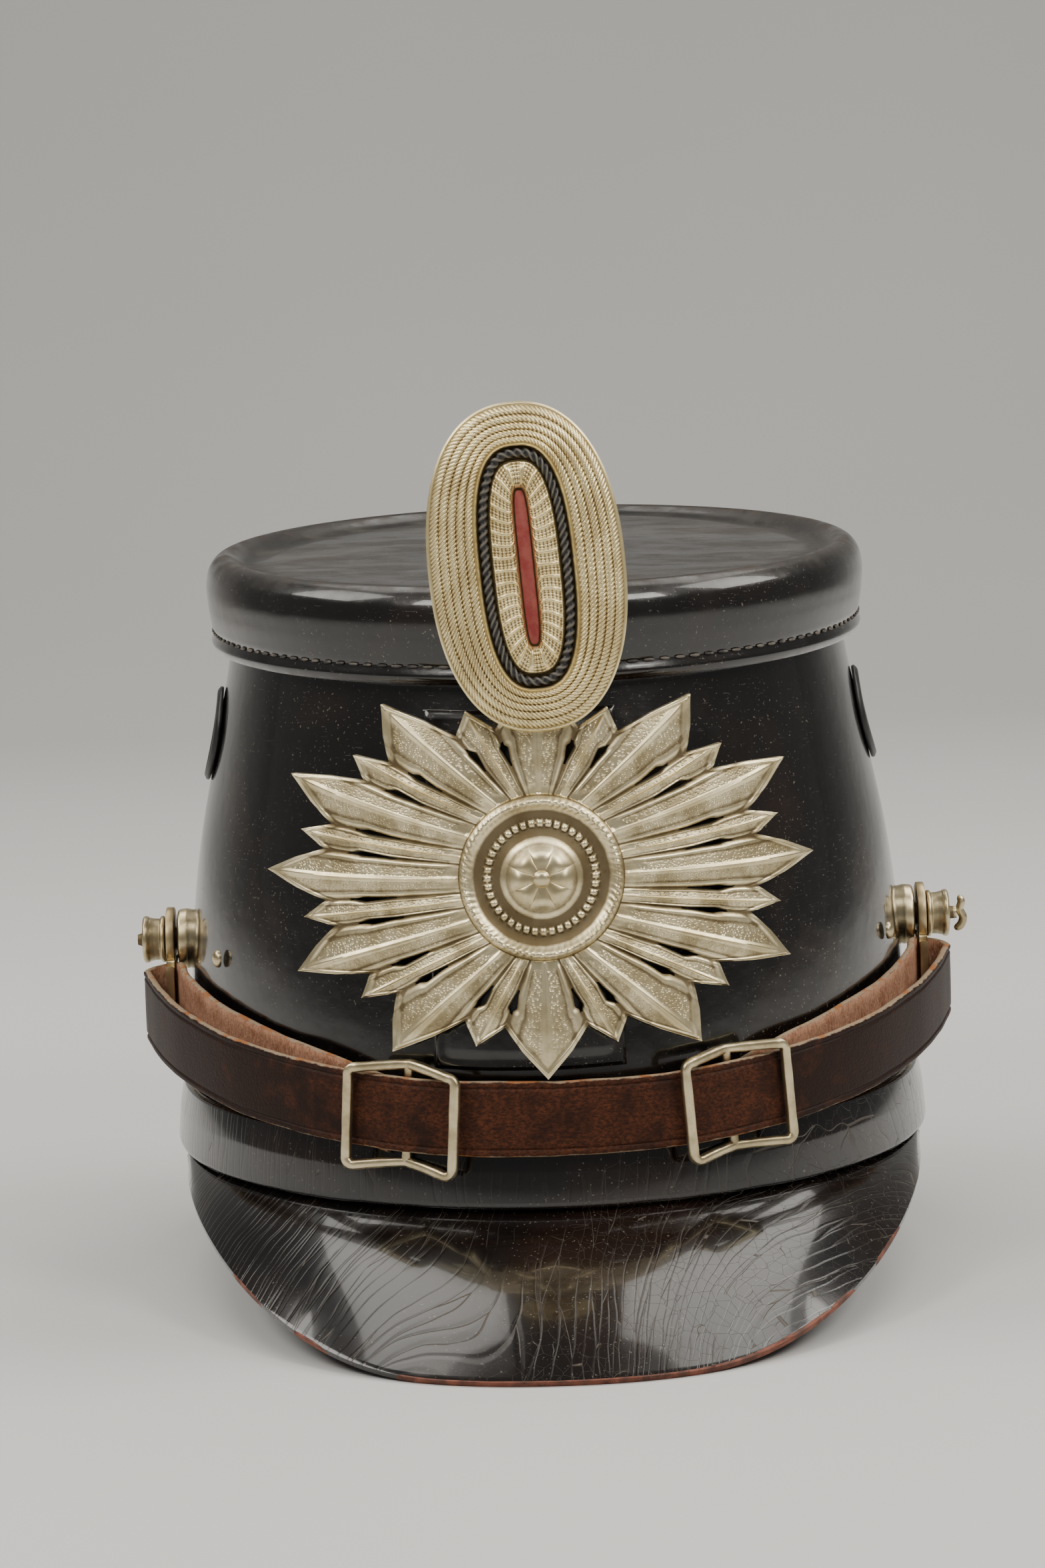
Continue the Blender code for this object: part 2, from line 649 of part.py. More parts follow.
def cockade(materials, frame):
    """Dish, twisted ring in its channel, ribbed cushion with a slot, coloured inlay, and the tongue."""
    place = cockade_place()
    rows = [oval_loop(*row) for row in reversed(COCKADE_DISH)] + [oval_loop(*row) for row in
                                                                 reversed(COCKADE_DISH_BACK)]
    floor = place @ Vector((0, -COCKADE_DISH[-1][2], 0))
    under = place @ Vector((0, -COCKADE_DISH_BACK[0][2], 0))
    add_object("cockade_shell", domed(rows, floor, under), materials["cockade_silver"], frame)

    half_width, half_height, relief, power = COCKADE_ROPE
    ring = []
    for corner in turn_angles(COCKADE_ROPE_SIDES):
        out, up = COCKADE_ROPE_RADIUS * math.cos(corner), COCKADE_ROPE_RADIUS * math.sin(corner)
        ring.append(oval_loop(half_width + out, half_height + out, relief + up, power))
    sections = [[row[k] for row in ring] for k in range(COCKADE_AROUND)]
    add_object("cockade_rope_ring", loft(sections, ring=True), materials["black_metal"], frame)

    base = place @ Vector((0, -COCKADE_CUSHION[0][2], 0))
    slot_floor = place @ Vector((0, -COCKADE_CUSHION_FLOOR, 0))
    cushion = [oval_loop(*row) for row in COCKADE_CUSHION]
    half_width, half_height, _, power = COCKADE_CUSHION[-1]
    cushion.append(oval_loop(half_width, half_height, COCKADE_CUSHION_FLOOR, power))
    add_object("cockade_centre", domed(cushion, base, slot_floor), materials["cockade_silver"], frame)

    rows = [oval_loop(*row) for row in COCKADE_INLAY]
    poles = [place @ Vector((0, -row[2], 0)) for row in (COCKADE_INLAY[0], COCKADE_INLAY[-1])]
    add_object("cockade_inlay", domed(rows, *poles), materials["red_paint"], frame)

    front, back = [], []
    for outward, height in TONGUE_PATH:
        for grid, extra in ((front, TONGUE_THICKNESS), (back, 0.0)):
            grid.append([(TONGUE_CENTRE_X + TONGUE_WIDTH * share, -outward - extra, height)
                         for share in (-0.5, 0.5)])
    add_object("cockade_tongue", slab(front, back), materials["nickel_silver"], frame)


# ---------------------------------------------------------------- bosses, hooks and vents
def side_matrix(side, y, z):
    """Turn a piece made along +X so that it points out of the given side of the hat."""
    flip = Matrix.Identity(4) if SIDES[side] > 0 else Matrix.Rotation(math.pi, 4, "Z")
    return Matrix.Translation((0, y, z)) @ flip


def boss(side, material, frame):
    """The boss on the crown, the turned nut outside the hook plate, and the rivet in front of it."""
    place = side_matrix(side, 0.0, BOSS_HEIGHT)
    add_object(f"boss_{side}", turned(BOSS_PROFILE, BOSS_SIDES, place), material, frame)
    nut = turned((*NUT_PROFILE, *NUT_TIP[side]), BOSS_SIDES, place)
    nut = add_object(f"boss_nut_{side}", nut, material, frame)
    if side == "right":
        path = [(outward, 0.0, height) for outward, height in FINIAL_PATH]
        combine(nut, helper("finial", tube(path, FINIAL_RADIUS, 6), frame), "UNION")

    forward = RIVET_FORWARD[side]
    angle = SIDES[side] * math.acos(forward / crown_oval(RIVET_HEIGHT)[1])
    seat = round_crown(angle, RIVET_HEIGHT, GAP + 0.0002)
    facing = crown_normal(angle, RIVET_HEIGHT)
    turn = Matrix.Translation(seat) @ facing.to_track_quat("X", "Z").to_matrix().to_4x4()
    profile = ((0.0, RIVET_RADIUS), (0.0007, RIVET_RADIUS * 0.9), (0.0012, RIVET_RADIUS * 0.5))
    add_object(f"boss_rivet_{side}", turned(profile, 10, turn), material, frame)


def strap_hook(side, material, frame):
    """A flat plate: a round eye over the boss's shank, and a tongue with a window for the strap."""
    sign = SIDES[side]
    start = math.acos(HOOK_BACK / HOOK_EYE_RADIUS) + math.radians(40)
    outline = [(HOOK_BACK, HOOK_BOTTOM), (HOOK_BACK, BOSS_HEIGHT - 0.0095)]
    for k in range(12):
        angle = -start / 2 + (math.pi + start) * k / 11
        outline.append((HOOK_EYE_RADIUS * math.cos(angle), BOSS_HEIGHT + HOOK_EYE_RADIUS * math.sin(angle)))
    outline += [(HOOK_FRONT, BOSS_HEIGHT - 0.0055), (HOOK_FRONT, HOOK_BOTTOM)]
    sections = [[(sign * x, y, z) for y, z in outline] for x in (HOOK_INSIDE, HOOK_OUTSIDE)]
    hook = add_object(f"strap_hook_{side}", loft(sections), material, frame)
    eye = turned(((HOOK_INSIDE - 0.002, HOOK_HOLE_RADIUS), (HOOK_OUTSIDE + 0.002, HOOK_HOLE_RADIUS)), 12,
                 side_matrix(side, 0.0, BOSS_HEIGHT))
    combine(hook, helper(f"hook_eye_{side}", eye, frame), "DIFFERENCE")
    window = [(HOOK_WINDOW["front"], HOOK_WINDOW["bottom"]), (HOOK_WINDOW["back"], HOOK_WINDOW["bottom"]),
              (HOOK_WINDOW["back"], HOOK_WINDOW["top"]), (HOOK_WINDOW["front"], HOOK_WINDOW["top"])]
    cutter = loft([[(sign * x, y, z) for y, z in window] for x in (HOOK_INSIDE - 0.002, HOOK_OUTSIDE + 0.002)])
    combine(hook, helper(f"hook_window_{side}", cutter, frame), "DIFFERENCE")


def vent_place(side):
    """The frame of a vent: X out of the crown's surface, square to it in both directions."""
    sign = SIDES[side]
    angle = sign * math.acos(VENT_FORWARD / crown_oval(VENT_HEIGHT)[1])
    seat = round_crown(angle, VENT_HEIGHT)
    above, below = (round_crown(angle, VENT_HEIGHT + step) for step in (0.008, -0.008))
    rise = (above - below).normalized()
    beside = Vector((0, 0, 1)).cross(crown_normal(angle, VENT_HEIGHT)).normalized()
    outward = beside.cross(rise).normalized()
    turn = Matrix((outward, beside, rise)).transposed().to_4x4()
    return Matrix.Translation(seat) @ turn


def vent(side, material, frame):
    """An eyelet through the crown's wall and the pierced screen inside it."""
    solid = bmesh.new()
    verts = [solid.verts.new((outward, radius, 0.0)) for outward, radius in VENT_PROFILE]
    edges = [solid.edges.new(pair) for pair in zip(verts, verts[1:] + verts[:1])]
    bmesh.ops.spin(solid, geom=verts + edges, axis=(1, 0, 0), cent=(0, 0, 0), steps=VENT_SIDES,
                   angle=2 * math.pi, use_merge=True)
    bmesh.ops.remove_doubles(solid, verts=solid.verts, dist=1e-6)
    bmesh.ops.transform(solid, matrix=vent_place(side), verts=solid.verts)
    add_object(f"vent_ring_{side}", solid, material, frame)

    edges_at = (SCREEN_DEPTH - SCREEN_THICKNESS, SCREEN_DEPTH)
    disc = turned([(depth, SCREEN_RADIUS) for depth in edges_at], 16, vent_place(side))
    screen = add_object(f"vent_screen_{side}", disc, material, frame)
    holes = bmesh.new()
    for row in range(-SCREEN_RINGS, SCREEN_RINGS + 1):
        across = 2 * SCREEN_RINGS + 1 - abs(row)
        for k in range(across):
            y = (k - (across - 1) / 2) * SCREEN_PITCH
            z = row * SCREEN_PITCH * math.sqrt(3) / 2
            spin = Matrix.Rotation(math.pi / 2, 4, "Y")
            place = vent_place(side) @ Matrix.Translation((SCREEN_DEPTH, y, z)) @ spin
            bmesh.ops.create_cone(holes, cap_ends=True, segments=5, radius1=SCREEN_HOLE_RADIUS,
                                  radius2=SCREEN_HOLE_RADIUS, depth=0.004, matrix=place)
    combine(screen, helper(f"screen_holes_{side}", holes, frame), "DIFFERENCE")


# ---------------------------------------------------------------- the chin strap and its buckles
def smooth_path(points, step):
    """A smooth curve through points, cut into pieces of about one step, by Catmull-Rom segments."""
    points = [Vector(point) for point in points]
    padded = [2 * points[0] - points[1], *points, 2 * points[-1] - points[-2]]
    path = [points[0]]
    for before, start, end, after in zip(padded, padded[1:], padded[2:], padded[3:]):
        pieces = max(1, round((end - start).length / step))
        for n in range(1, pieces + 1):
            t = n / pieces
            path.append(0.5 * ((2 * start) + (end - before) * t + (2 * before - 5 * start + 4 * end - after) * t ** 2
                               + (3 * start - before - 3 * end + after) * t ** 3))
    return path


def strap_half(side):
    """The middle line of one half: from the buckle's bar back to the hook, round it, and to the front."""
    sign = SIDES[side]
    end_angle = abs(BUCKLES[side]["angle"]) + STRAP_END_ANGLE
    returning = [(end_angle, STRAP_END_OFFSET, BUCKLES[side]["height"]), *reversed(STRAP_RETURN)]

    def place(row):
        return round_crown(sign * math.radians(row[0]), row[2], row[1])

    inner = smooth_path([place(row) for row in returning], STRAP_STEP)
    outer = smooth_path([place(row) for row in reversed(STRAP_OUTER)], STRAP_STEP)
    fold = []
    for k in range(1, STRAP_FOLD_STEPS):
        share = k / STRAP_FOLD_STEPS
        turn = math.pi * share
        x = STRAP_FOLD_CENTRE[0] - STRAP_FOLD_RADIUS * math.cos(turn)
        y = STRAP_FOLD_CENTRE[1] + STRAP_FOLD_RADIUS * math.sin(turn)
        fold.append(Vector((sign * x, y, inner[-1].z + (outer[0].z - inner[-1].z) * share)))
    return inner + fold + outer


def chin_strap(material, frame):
    """One strip from buckle to buckle: back to each hook, through its window, and across the front."""
    left, right = strap_half("left"), strap_half("right")
    path = left + list(reversed(right))[1:]
    sections = []
    for k, point in enumerate(path):
        along = (path[min(k + 1, len(path) - 1)] - path[max(k - 1, 0)]).normalized()
        through = along.cross(Vector((0, 0, 1))).normalized()
        up = through.cross(along).normalized()
        corners = ((-1, -1), (1, -1), (1, 1), (-1, 1))
        sections.append([point + through * (a * STRAP_THICKNESS / 2) + up * (b * STRAP_WIDTH / 2)
                         for a, b in corners])
    add_object("chin_strap", loft(sections), material, frame)


def buckle(side, material, frame):
    """A rounded frame of wire, bent back in the middle where a bar behind the strap joins it."""
    shape = BUCKLES[side]
    angle = math.radians(shape["angle"])
    seat = round_crown(angle, shape["height"], 0.0)
    normal = crown_normal(angle, shape["height"])
    across = Vector((0, 0, 1)).cross(normal).normalized()
    tilt = SIDES[side] * math.radians(shape["tilt"])
    strap_middle = STRAP_OUTER[2][1]

    def place(s, v):
        """A point of the frame from its places along and across the strap."""
        bent = 1 - min(1.0, abs(s) / (shape["half_width"] - BUCKLE_CORNER)) ** 1.2
        out = (strap_middle + BUCKLE_FRAME_OUT) * (1 - bent) + BUCKLE_BAR_OFFSET * bent
        level = s * math.cos(tilt) - v * math.sin(tilt)
        height = s * math.sin(tilt) + v * math.cos(tilt) + shape["rise"] * bent
        return seat + across * level + Vector((0, 0, height)) + normal * out

    path = []
    for corner in range(4):
        middle_s = (1, -1, -1, 1)[corner] * (shape["half_width"] - BUCKLE_CORNER)
        middle_v = (1, 1, -1, -1)[corner] * (BUCKLE_HALF_HEIGHT - BUCKLE_CORNER)
        for k in range(3):
            bend = math.pi / 2 * (corner + k / 2)
            path.append(place(middle_s + BUCKLE_CORNER * math.cos(bend), middle_v + BUCKLE_CORNER * math.sin(bend)))
        if corner in (0, 2):
            level = (1, -1)[corner // 2] * BUCKLE_HALF_HEIGHT
            path += [place(s * level / BUCKLE_HALF_HEIGHT * shape["half_width"], level) for s in (0.45, 0.0, -0.45)]
    frame_wire = add_object(f"buckle_{side}", tube(path, BUCKLE_WIRE, 6, ring=True), material, frame)
    bar = [place(0.0, v) for v in (-BUCKLE_HALF_HEIGHT, BUCKLE_HALF_HEIGHT)]
    combine(frame_wire, helper(f"bar_{side}", tube(bar, BUCKLE_WIRE * 0.9, 6), frame), "UNION")


# ---------------------------------------------------------------- the whole hat
def centre_frame():
    """The empty that carries every piece and centres the hat, from visor tip to visor tip."""
    front_tip = -(FRONT_VISOR["edge_centre"] + FRONT_VISOR["edge_reach"])
    rear_tip = REAR_VISOR["edge_centre"] + REAR_VISOR["edge_reach"]
    frame = bpy.data.objects.new("hat_frame", None)
    frame.location = (0.0, -(front_tip + rear_tip) / 2, 0.0)
    bpy.context.scene.collection.objects.link(frame)
    return frame


def main():
    for thing in list(bpy.data.objects):
        bpy.data.objects.remove(thing)
    materials = {name: new_material(name) for name in MATERIALS}
    frame = centre_frame()
    crown_body(materials["black_leather"], frame)
    crown_cap(materials["black_leather"], frame)
    base_band(materials["patent_leather"], frame)
    visor("front_visor", FRONT_VISOR, materials["patent_leather"], frame)
    visor("rear_visor", REAR_VISOR, materials["patent_leather"], frame)
    cockade_pocket(materials["black_leather"], frame)
    front_plate(materials["nickel_silver"], frame)
    cockade(materials, frame)
    for side in SIDES:
        boss(side, materials["nickel_silver"], frame)
        strap_hook(side, materials["nickel_silver"], frame)
        vent(side, materials["black_metal"], frame)
        buckle(side, materials["nickel_silver"], frame)
    chin_strap(materials["strap_leather"], frame)


main()
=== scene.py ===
"""The looks of the shako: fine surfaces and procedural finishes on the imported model's frame.

Metres, +Z up, the front towards -Y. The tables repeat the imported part's own, in the hat's frame, whose
axis runs through the head oval; HAT_SHIFT moves that frame to the world's. As the photograph shows them,
left is towards -X. Surfaces are worked out as whole arrays and then joined into closed bodies.
"""
import logging
import math
from dataclasses import dataclass
from enum import Enum
from typing import Dict, List, Optional, Sequence, Tuple, Union

import bmesh
import bpy
import numpy as np
from mathutils import Matrix, Vector


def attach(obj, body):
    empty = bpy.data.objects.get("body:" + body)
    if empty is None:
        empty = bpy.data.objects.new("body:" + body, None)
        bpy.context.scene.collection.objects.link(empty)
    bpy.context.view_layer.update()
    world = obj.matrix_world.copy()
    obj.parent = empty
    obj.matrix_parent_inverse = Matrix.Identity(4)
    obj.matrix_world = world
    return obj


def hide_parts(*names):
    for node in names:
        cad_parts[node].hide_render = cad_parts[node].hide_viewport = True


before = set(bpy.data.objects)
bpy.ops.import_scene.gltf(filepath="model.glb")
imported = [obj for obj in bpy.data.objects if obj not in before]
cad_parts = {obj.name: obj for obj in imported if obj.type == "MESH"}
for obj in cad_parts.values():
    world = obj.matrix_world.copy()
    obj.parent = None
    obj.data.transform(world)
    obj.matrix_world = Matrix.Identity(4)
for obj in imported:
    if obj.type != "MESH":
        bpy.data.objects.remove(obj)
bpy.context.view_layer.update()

LOG = logging.getLogger("shako")
Array = np.ndarray
Row = Tuple[float, ...]
Table = Tuple[Row, ...]
Number = Union[int, float]
Values = Union[float, Array]

HAT_SHIFT = np.array([0.0, 0.0095, 0.0])
TOP_TILT = math.tan(math.radians(2.4))
SIDES = {"left": -1, "right": 1}

# The crown's oval, from its foot to its top. Columns: height, half_width, half_length.
CROWN_SECTIONS = np.array([
    (0.026, 0.0894, 0.1042), (0.045, 0.0894, 0.1038), (0.060, 0.0890, 0.1030),
    (0.075, 0.0884, 0.1018), (0.090, 0.0871, 0.1002), (0.105, 0.0850, 0.0978),
    (0.120, 0.0820, 0.0946), (0.135, 0.0790, 0.0912), (0.149, 0.0763, 0.0878),
    (0.1702, 0.0744, 0.0860),
])


# ---- curves and surfaces as arrays
def hermite(at: Array, places: Array, values: Array) -> Array:
    """Read a table smoothly: cubic Hermite pieces whose slopes are central differences.

    Args:
        at: places to read, kept within the table.
        places: rising places of the table's rows.
        values: one value, or one row of values, for each place.

    Returns:
        The values there, shaped like at, with the row's columns last.
    """
    at = np.clip(np.asarray(at, dtype=float), places[0], places[-1])
    slopes = np.gradient(values, places, axis=0)
    k = np.clip(np.searchsorted(places, at, side="right") - 1, 0, len(places) - 2)
    width = places[k + 1] - places[k]
    t = (at - places[k]) / width
    if values.ndim > 1:
        t, width = t[..., None], width[..., None]
    start = (2 * t ** 3 - 3 * t ** 2 + 1) * values[k] + (t ** 3 - 2 * t ** 2 + t) * width * slopes[k]
    return start + (3 * t ** 2 - 2 * t ** 3) * values[k + 1] + (t ** 3 - t ** 2) * width * slopes[k + 1]


def distances(points: Array) -> Array:
    """How far along a line each of its points lies."""
    return np.concatenate([[0.0], np.cumsum(np.linalg.norm(np.diff(points, axis=0), axis=1))])


def smooth_curve(points: Sequence[Row], count: int) -> Array:
    """Draw a smooth curve through points, evenly in its chord length.

    Args:
        points: rows of coordinates.
        count: how many points the curve gets.

    Returns:
        The curve's points, one row each.
    """
    points = np.asarray(points, dtype=float)
    places = distances(points)
    return hermite(np.linspace(0.0, places[-1], count), places, points)


def rounded_loop(points: Sequence[Row], radius: float, steps: int = 4) -> Array:
    """Round the corners of a closed outline, each with a quadratic Bezier from side to side.

    Args:
        points: the outline's corners.
        radius: how far from a corner its rounding starts, at most 45 % of the side.
        steps: pieces in each rounding.

    Returns:
        The rounded outline's points.
    """
    here = np.asarray(points, dtype=float)
    before, after = np.roll(here, 1, axis=0), np.roll(here, -1, axis=0)
    t = np.linspace(0.0, 1.0, steps + 1)[None, :, None]

    def cut(other: Array) -> Array:
        """The point where the rounding meets the side towards another corner."""
        side = other - here
        length = np.linalg.norm(side, axis=1, keepdims=True)
        return (here + side / length * np.minimum(radius, 0.45 * length))[:, None]

    return bezier(cut(before), here[:, None], cut(after), t).reshape(-1, here.shape[1])


def bezier(start: Array, middle: Array, end: Array, t: Values) -> Array:
    """Points of a quadratic Bezier curve."""
    return (1 - t) ** 2 * start + 2 * t * (1 - t) * middle + t ** 2 * end


def unit(vectors: Array) -> Array:
    """Each vector of an array, at length 1."""
    return vectors / np.linalg.norm(vectors, axis=-1, keepdims=True)


def step(value: Array, start: float, end: float) -> Array:
    """A smooth step from 0 at start to 1 at end."""
    t = np.clip((value - start) / (end - start), 0.0, 1.0)
    return t * t * (3 - 2 * t)


def hump(value: Array, centre: float, width: float) -> Array:
    """A smooth hump of height 1 round a centre."""
    return np.exp(-((value - centre) / width) ** 2)


def ripple(angle: Array, waves: Sequence[Tuple[int, float]], seed: int) -> Array:
    """Add whole-numbered waves round the hat, each with a phase of its own.

    Args:
        angle: angles round the hat.
        waves: pairs of a wave count and its height.
        seed: seed of the phases.

    Returns:
        The sum of height * sin(count * angle + phase).
    """
    phases = np.random.default_rng(seed).uniform(0.0, 2 * math.pi, len(waves))
    return sum(height * np.sin(count * angle + phase) for (count, height), phase in zip(waves, phases))


def crown_oval(height: Values) -> Array:
    """The crown's half width and half length at each height, as the last axis."""
    return hermite(height, CROWN_SECTIONS[:, 0], CROWN_SECTIONS[:, 1:])


def round_crown(angle: Values, height: Values, offset: Values = 0.0) -> Array:
    """Place points round the crown.

    A point of the oval is (half_width sin a, -half_length cos a), and the offset runs along the unit
    vector of (sin a / half_width, -cos a / half_length), which is square to the oval.

    Args:
        angle: angles in radians, 0 at the front and positive towards +X.
        height: heights above the table.
        offset: distances out from the crown's surface.

    Returns:
        World points.
    """
    angle, height, offset = np.broadcast_arrays(angle, height, offset)
    oval = crown_oval(height)
    across, along = np.sin(angle), np.cos(angle)
    out = unit(np.stack([across / oval[..., 0], -along / oval[..., 1]], -1))
    x = oval[..., 0] * across + offset * out[..., 0]
    y = -oval[..., 1] * along + offset * out[..., 1]
    return np.stack([x, y, height], -1) + HAT_SHIFT


def crown_normal(angle: float, height: float) -> Array:
    """The level unit vector square to the crown at one place."""
    half_width, half_length = crown_oval(height)
    return unit(np.array([math.sin(angle) / half_width, -math.cos(angle) / half_length, 0.0]))


def forward_angle(side: str, forward: float, height: float) -> float:
    """The angle round the crown, on one side, of a place this far forward of the crown's middle."""
    return SIDES[side] * math.acos(forward / crown_oval(height)[1])


def around(count: int) -> Array:
    """Angles of one full turn, without the last."""
    return np.arange(count) * 2 * math.pi / count


def circle(turn: Array) -> Array:
    """Points of the unit circle at these angles."""
    return np.stack([np.cos(turn), np.sin(turn)], -1)


def moved(points: Array, place: Matrix) -> Array:
    """Points of a frame, in the world."""
    matrix = np.array(place)
    return points @ matrix[:3, :3].T + matrix[:3, 3]


def pointing(seat: Array, out: Sequence[float]) -> Matrix:
    """A frame at a place, with its X axis along a direction."""
    return Matrix.Translation(seat) @ Vector(out).to_track_quat("X", "Z").to_matrix().to_4x4()


def carry(path: Array, section: Array, sideways: Array, closed: bool = False) -> Array:
    """Carry a flat section along a path.

    At each point the section's first axis lies along path x sideways and its second square to both.

    Args:
        path: points of the path.
        section: points of the section in metres, the same all along or one set for each point.
        sideways: the direction that the section's first axis is kept square to.
        closed: True where the path runs back to its start.

    Returns:
        A grid of points: path, section, coordinates.
    """
    if closed:
        along = np.roll(path, -1, axis=0) - np.roll(path, 1, axis=0)
    else:
        along = np.gradient(path, axis=0)
    along = unit(along)
    first = unit(np.cross(along, np.broadcast_to(sideways, along.shape)))
    second = unit(np.cross(first, along))
    section = np.broadcast_to(section, (len(path), *section.shape[-2:]))
    return path[:, None] + first[:, None] * section[..., :1] + second[:, None] * section[..., 1:]


def grid_faces(rows: int, columns: int, ring: bool = False, tube: bool = False) -> Array:
    """The four-sided faces of a grid of points that are numbered row by row.

    Args:
        rows: rows in the grid.
        columns: columns in the grid.
        ring: True where the last row joins the first.
        tube: True where the last column joins the first.

    Returns:
        One row of four point numbers for each face.
    """
    r, c = np.meshgrid(np.arange(rows - (not ring)), np.arange(columns - (not tube)), indexing="ij")
    r_next, c_next = (r + 1) % rows, (c + 1) % columns
    corners = (r * columns + c, r * columns + c_next, r_next * columns + c_next, r_next * columns + c)
    return np.stack(corners, -1).reshape(-1, 4)


class Body:
    """Surfaces that are collected as arrays and become one closed mesh object."""

    def __init__(self, name: str) -> None:
        """Start an empty body.

        Args:
            name: the piece's name.
        """
        self.name = name
        self.points: List[Array] = []
        self.quads: List[Array] = []
        self.fans: List[Array] = []
        self.layers: List[Dict[str, Array]] = []
        self.count = 0

    def add(self, points: Array, quads: Array, **layers: Values) -> int:
        """Add points and the faces between them.

        Args:
            points: any grid of points.
            quads: four point numbers a face, within this grid.
            layers: values for each point, kept as attributes of the mesh.

        Returns:
            The number of the grid's first point in the body.
        """
        start = self.count
        flat = np.asarray(points, dtype=float).reshape(-1, 3)
        self.points.append(flat)
        self.quads.append(np.asarray(quads, dtype=int).reshape(-1, 4) + start)
        self.layers.append({key: np.broadcast_to(value, np.shape(points)[:-1]).ravel()
                            for key, value in layers.items()})
        self.count += len(flat)
        return start

    def tube(self, grid: Array, first: Optional[Array] = None, last: Optional[Array] = None,
             **layers: Values) -> None:
        """Add loops, one a row, joined one to the next and closed at each end by a fan to a pole.

        Args:
            grid: rows of points, each a closed loop.
            first: pole of the first loop, or nothing for its middle.
            last: pole of the last loop, or nothing for its middle.
            layers: values for each point.
        """
        rows, columns = grid.shape[:2]
        start = self.add(grid, grid_faces(rows, columns, tube=True), **layers)
        for row, pole in ((0, first), (rows - 1, last)):
            ends = {key: np.broadcast_to(value, (rows, columns))[row].mean()
                    for key, value in layers.items()}
            tip = self.add(np.reshape(grid[row].mean(axis=0) if pole is None else pole, (1, 3)), [], **ends)
            loop = start + row * columns + np.arange(columns)
            self.fans.append(np.stack([loop, np.roll(loop, -1), np.full(columns, tip)], -1))

    def ring(self, grid: Array, **layers: Values) -> None:
        """Add a ring through closed sections, one a row, the last joined to the first."""
        self.add(grid, grid_faces(*grid.shape[:2], ring=True, tube=True), **layers)

    def sheet(self, front: Array, back: Array, keep: Optional[Array] = None, tube: bool = False,
              **layers: Values) -> None:
        """Add a sheet between two grids of the same shape, joined along every open border.

        Args:
            front: points of the outer side.
            back: points of the inner side.
            keep: True for each cell that is there; the rest are holes.
            tube: True where the last column joins the first.
            layers: values for each point, the same on both sides.
        """
        rows, columns = front.shape[:2]
        cells = grid_faces(rows, columns, tube=tube)
        if keep is not None:
            cells = cells[keep.ravel()]
        size = rows * columns
        edges = np.concatenate([cells[:, [k, (k + 1) % 4]] for k in range(4)])
        codes = edges[:, 0] * size + edges[:, 1]
        start, end = edges[~np.isin(codes, edges[:, 1] * size + edges[:, 0])].T
        walls = np.stack([end, start, start + size, end + size], -1)
        self.add(np.stack([front, back]), np.concatenate([cells, cells[:, ::-1] + size, walls]), **layers)

    def make(self, finish: "Finish", *nodes: str, sharp: float = 40.0) -> bpy.types.Object:
        """Turn the body into an object that rides on the frame.

        Args:
            finish: its finish.
            nodes: the CAD nodes that it stands for.
            sharp: angle in degrees above which an edge is drawn sharp.

        Returns:
            The object.
        """
        points = np.concatenate(self.points)
        quads = np.concatenate(self.quads)
        fans = np.concatenate([np.zeros((0, 3), dtype=int), *self.fans])
        used, flat = np.unique(np.concatenate([quads.ravel(), fans.ravel()]), return_inverse=True)
        mesh = bpy.data.meshes.new(self.name)
        mesh.vertices.add(len(used))
        mesh.vertices.foreach_set("co", points[used].ravel())
        mesh.loops.add(len(flat))
        mesh.loops.foreach_set("vertex_index", flat.ravel())
        sizes = np.concatenate([np.full(len(quads), 4), np.full(len(fans), 3)])
        mesh.polygons.add(len(sizes))
        mesh.polygons.foreach_set("loop_start", np.concatenate([[0], np.cumsum(sizes)[:-1]]))
        mesh.update(calc_edges=True)
        turn_outwards(mesh)
        for key in sorted({key for layer in self.layers for key in layer}):
            values = np.concatenate([layer.get(key, np.zeros(len(part)))
                                     for layer, part in zip(self.layers, self.points)])
            mesh.attributes.new(key, "FLOAT", "POINT").data.foreach_set("value", values[used])
        return place_mesh(mesh, self.name, finish, nodes, sharp)


def turn_outwards(mesh: bpy.types.Mesh, merge: float = 0.0) -> None:
    """Turn every face outwards, after merging points within a distance if one is given."""
    work = bmesh.new()
    work.from_mesh(mesh)
    if merge:
        bmesh.ops.remove_doubles(work, verts=work.verts, dist=merge)
    bmesh.ops.recalc_face_normals(work, faces=work.faces)
    work.to_mesh(mesh)
    work.free()


def place_mesh(mesh: bpy.types.Mesh, name: str, finish: "Finish", nodes: Sequence[str],
               sharp: float = 40.0) -> bpy.types.Object:
    """Link a mesh as a piece of the hat.

    Args:
        mesh: the mesh, in world coordinates.
        name: the piece's name.
        finish: its finish.
        nodes: the CAD nodes that it stands for.
        sharp: angle in degrees above which an edge is drawn sharp.

    Returns:
        The object.
    """
    mesh.shade_smooth()
    mesh.set_sharp_from_angle(angle=math.radians(sharp))
    mesh.materials.clear()
    mesh.materials.append(finish.material)
    thing = bpy.data.objects.new(name, mesh)
    bpy.context.scene.collection.objects.link(thing)
    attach(thing, "root")
    if nodes:
        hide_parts(*nodes)
    LOG.info("%s: %d faces", name, len(mesh.polygons))
    return thing


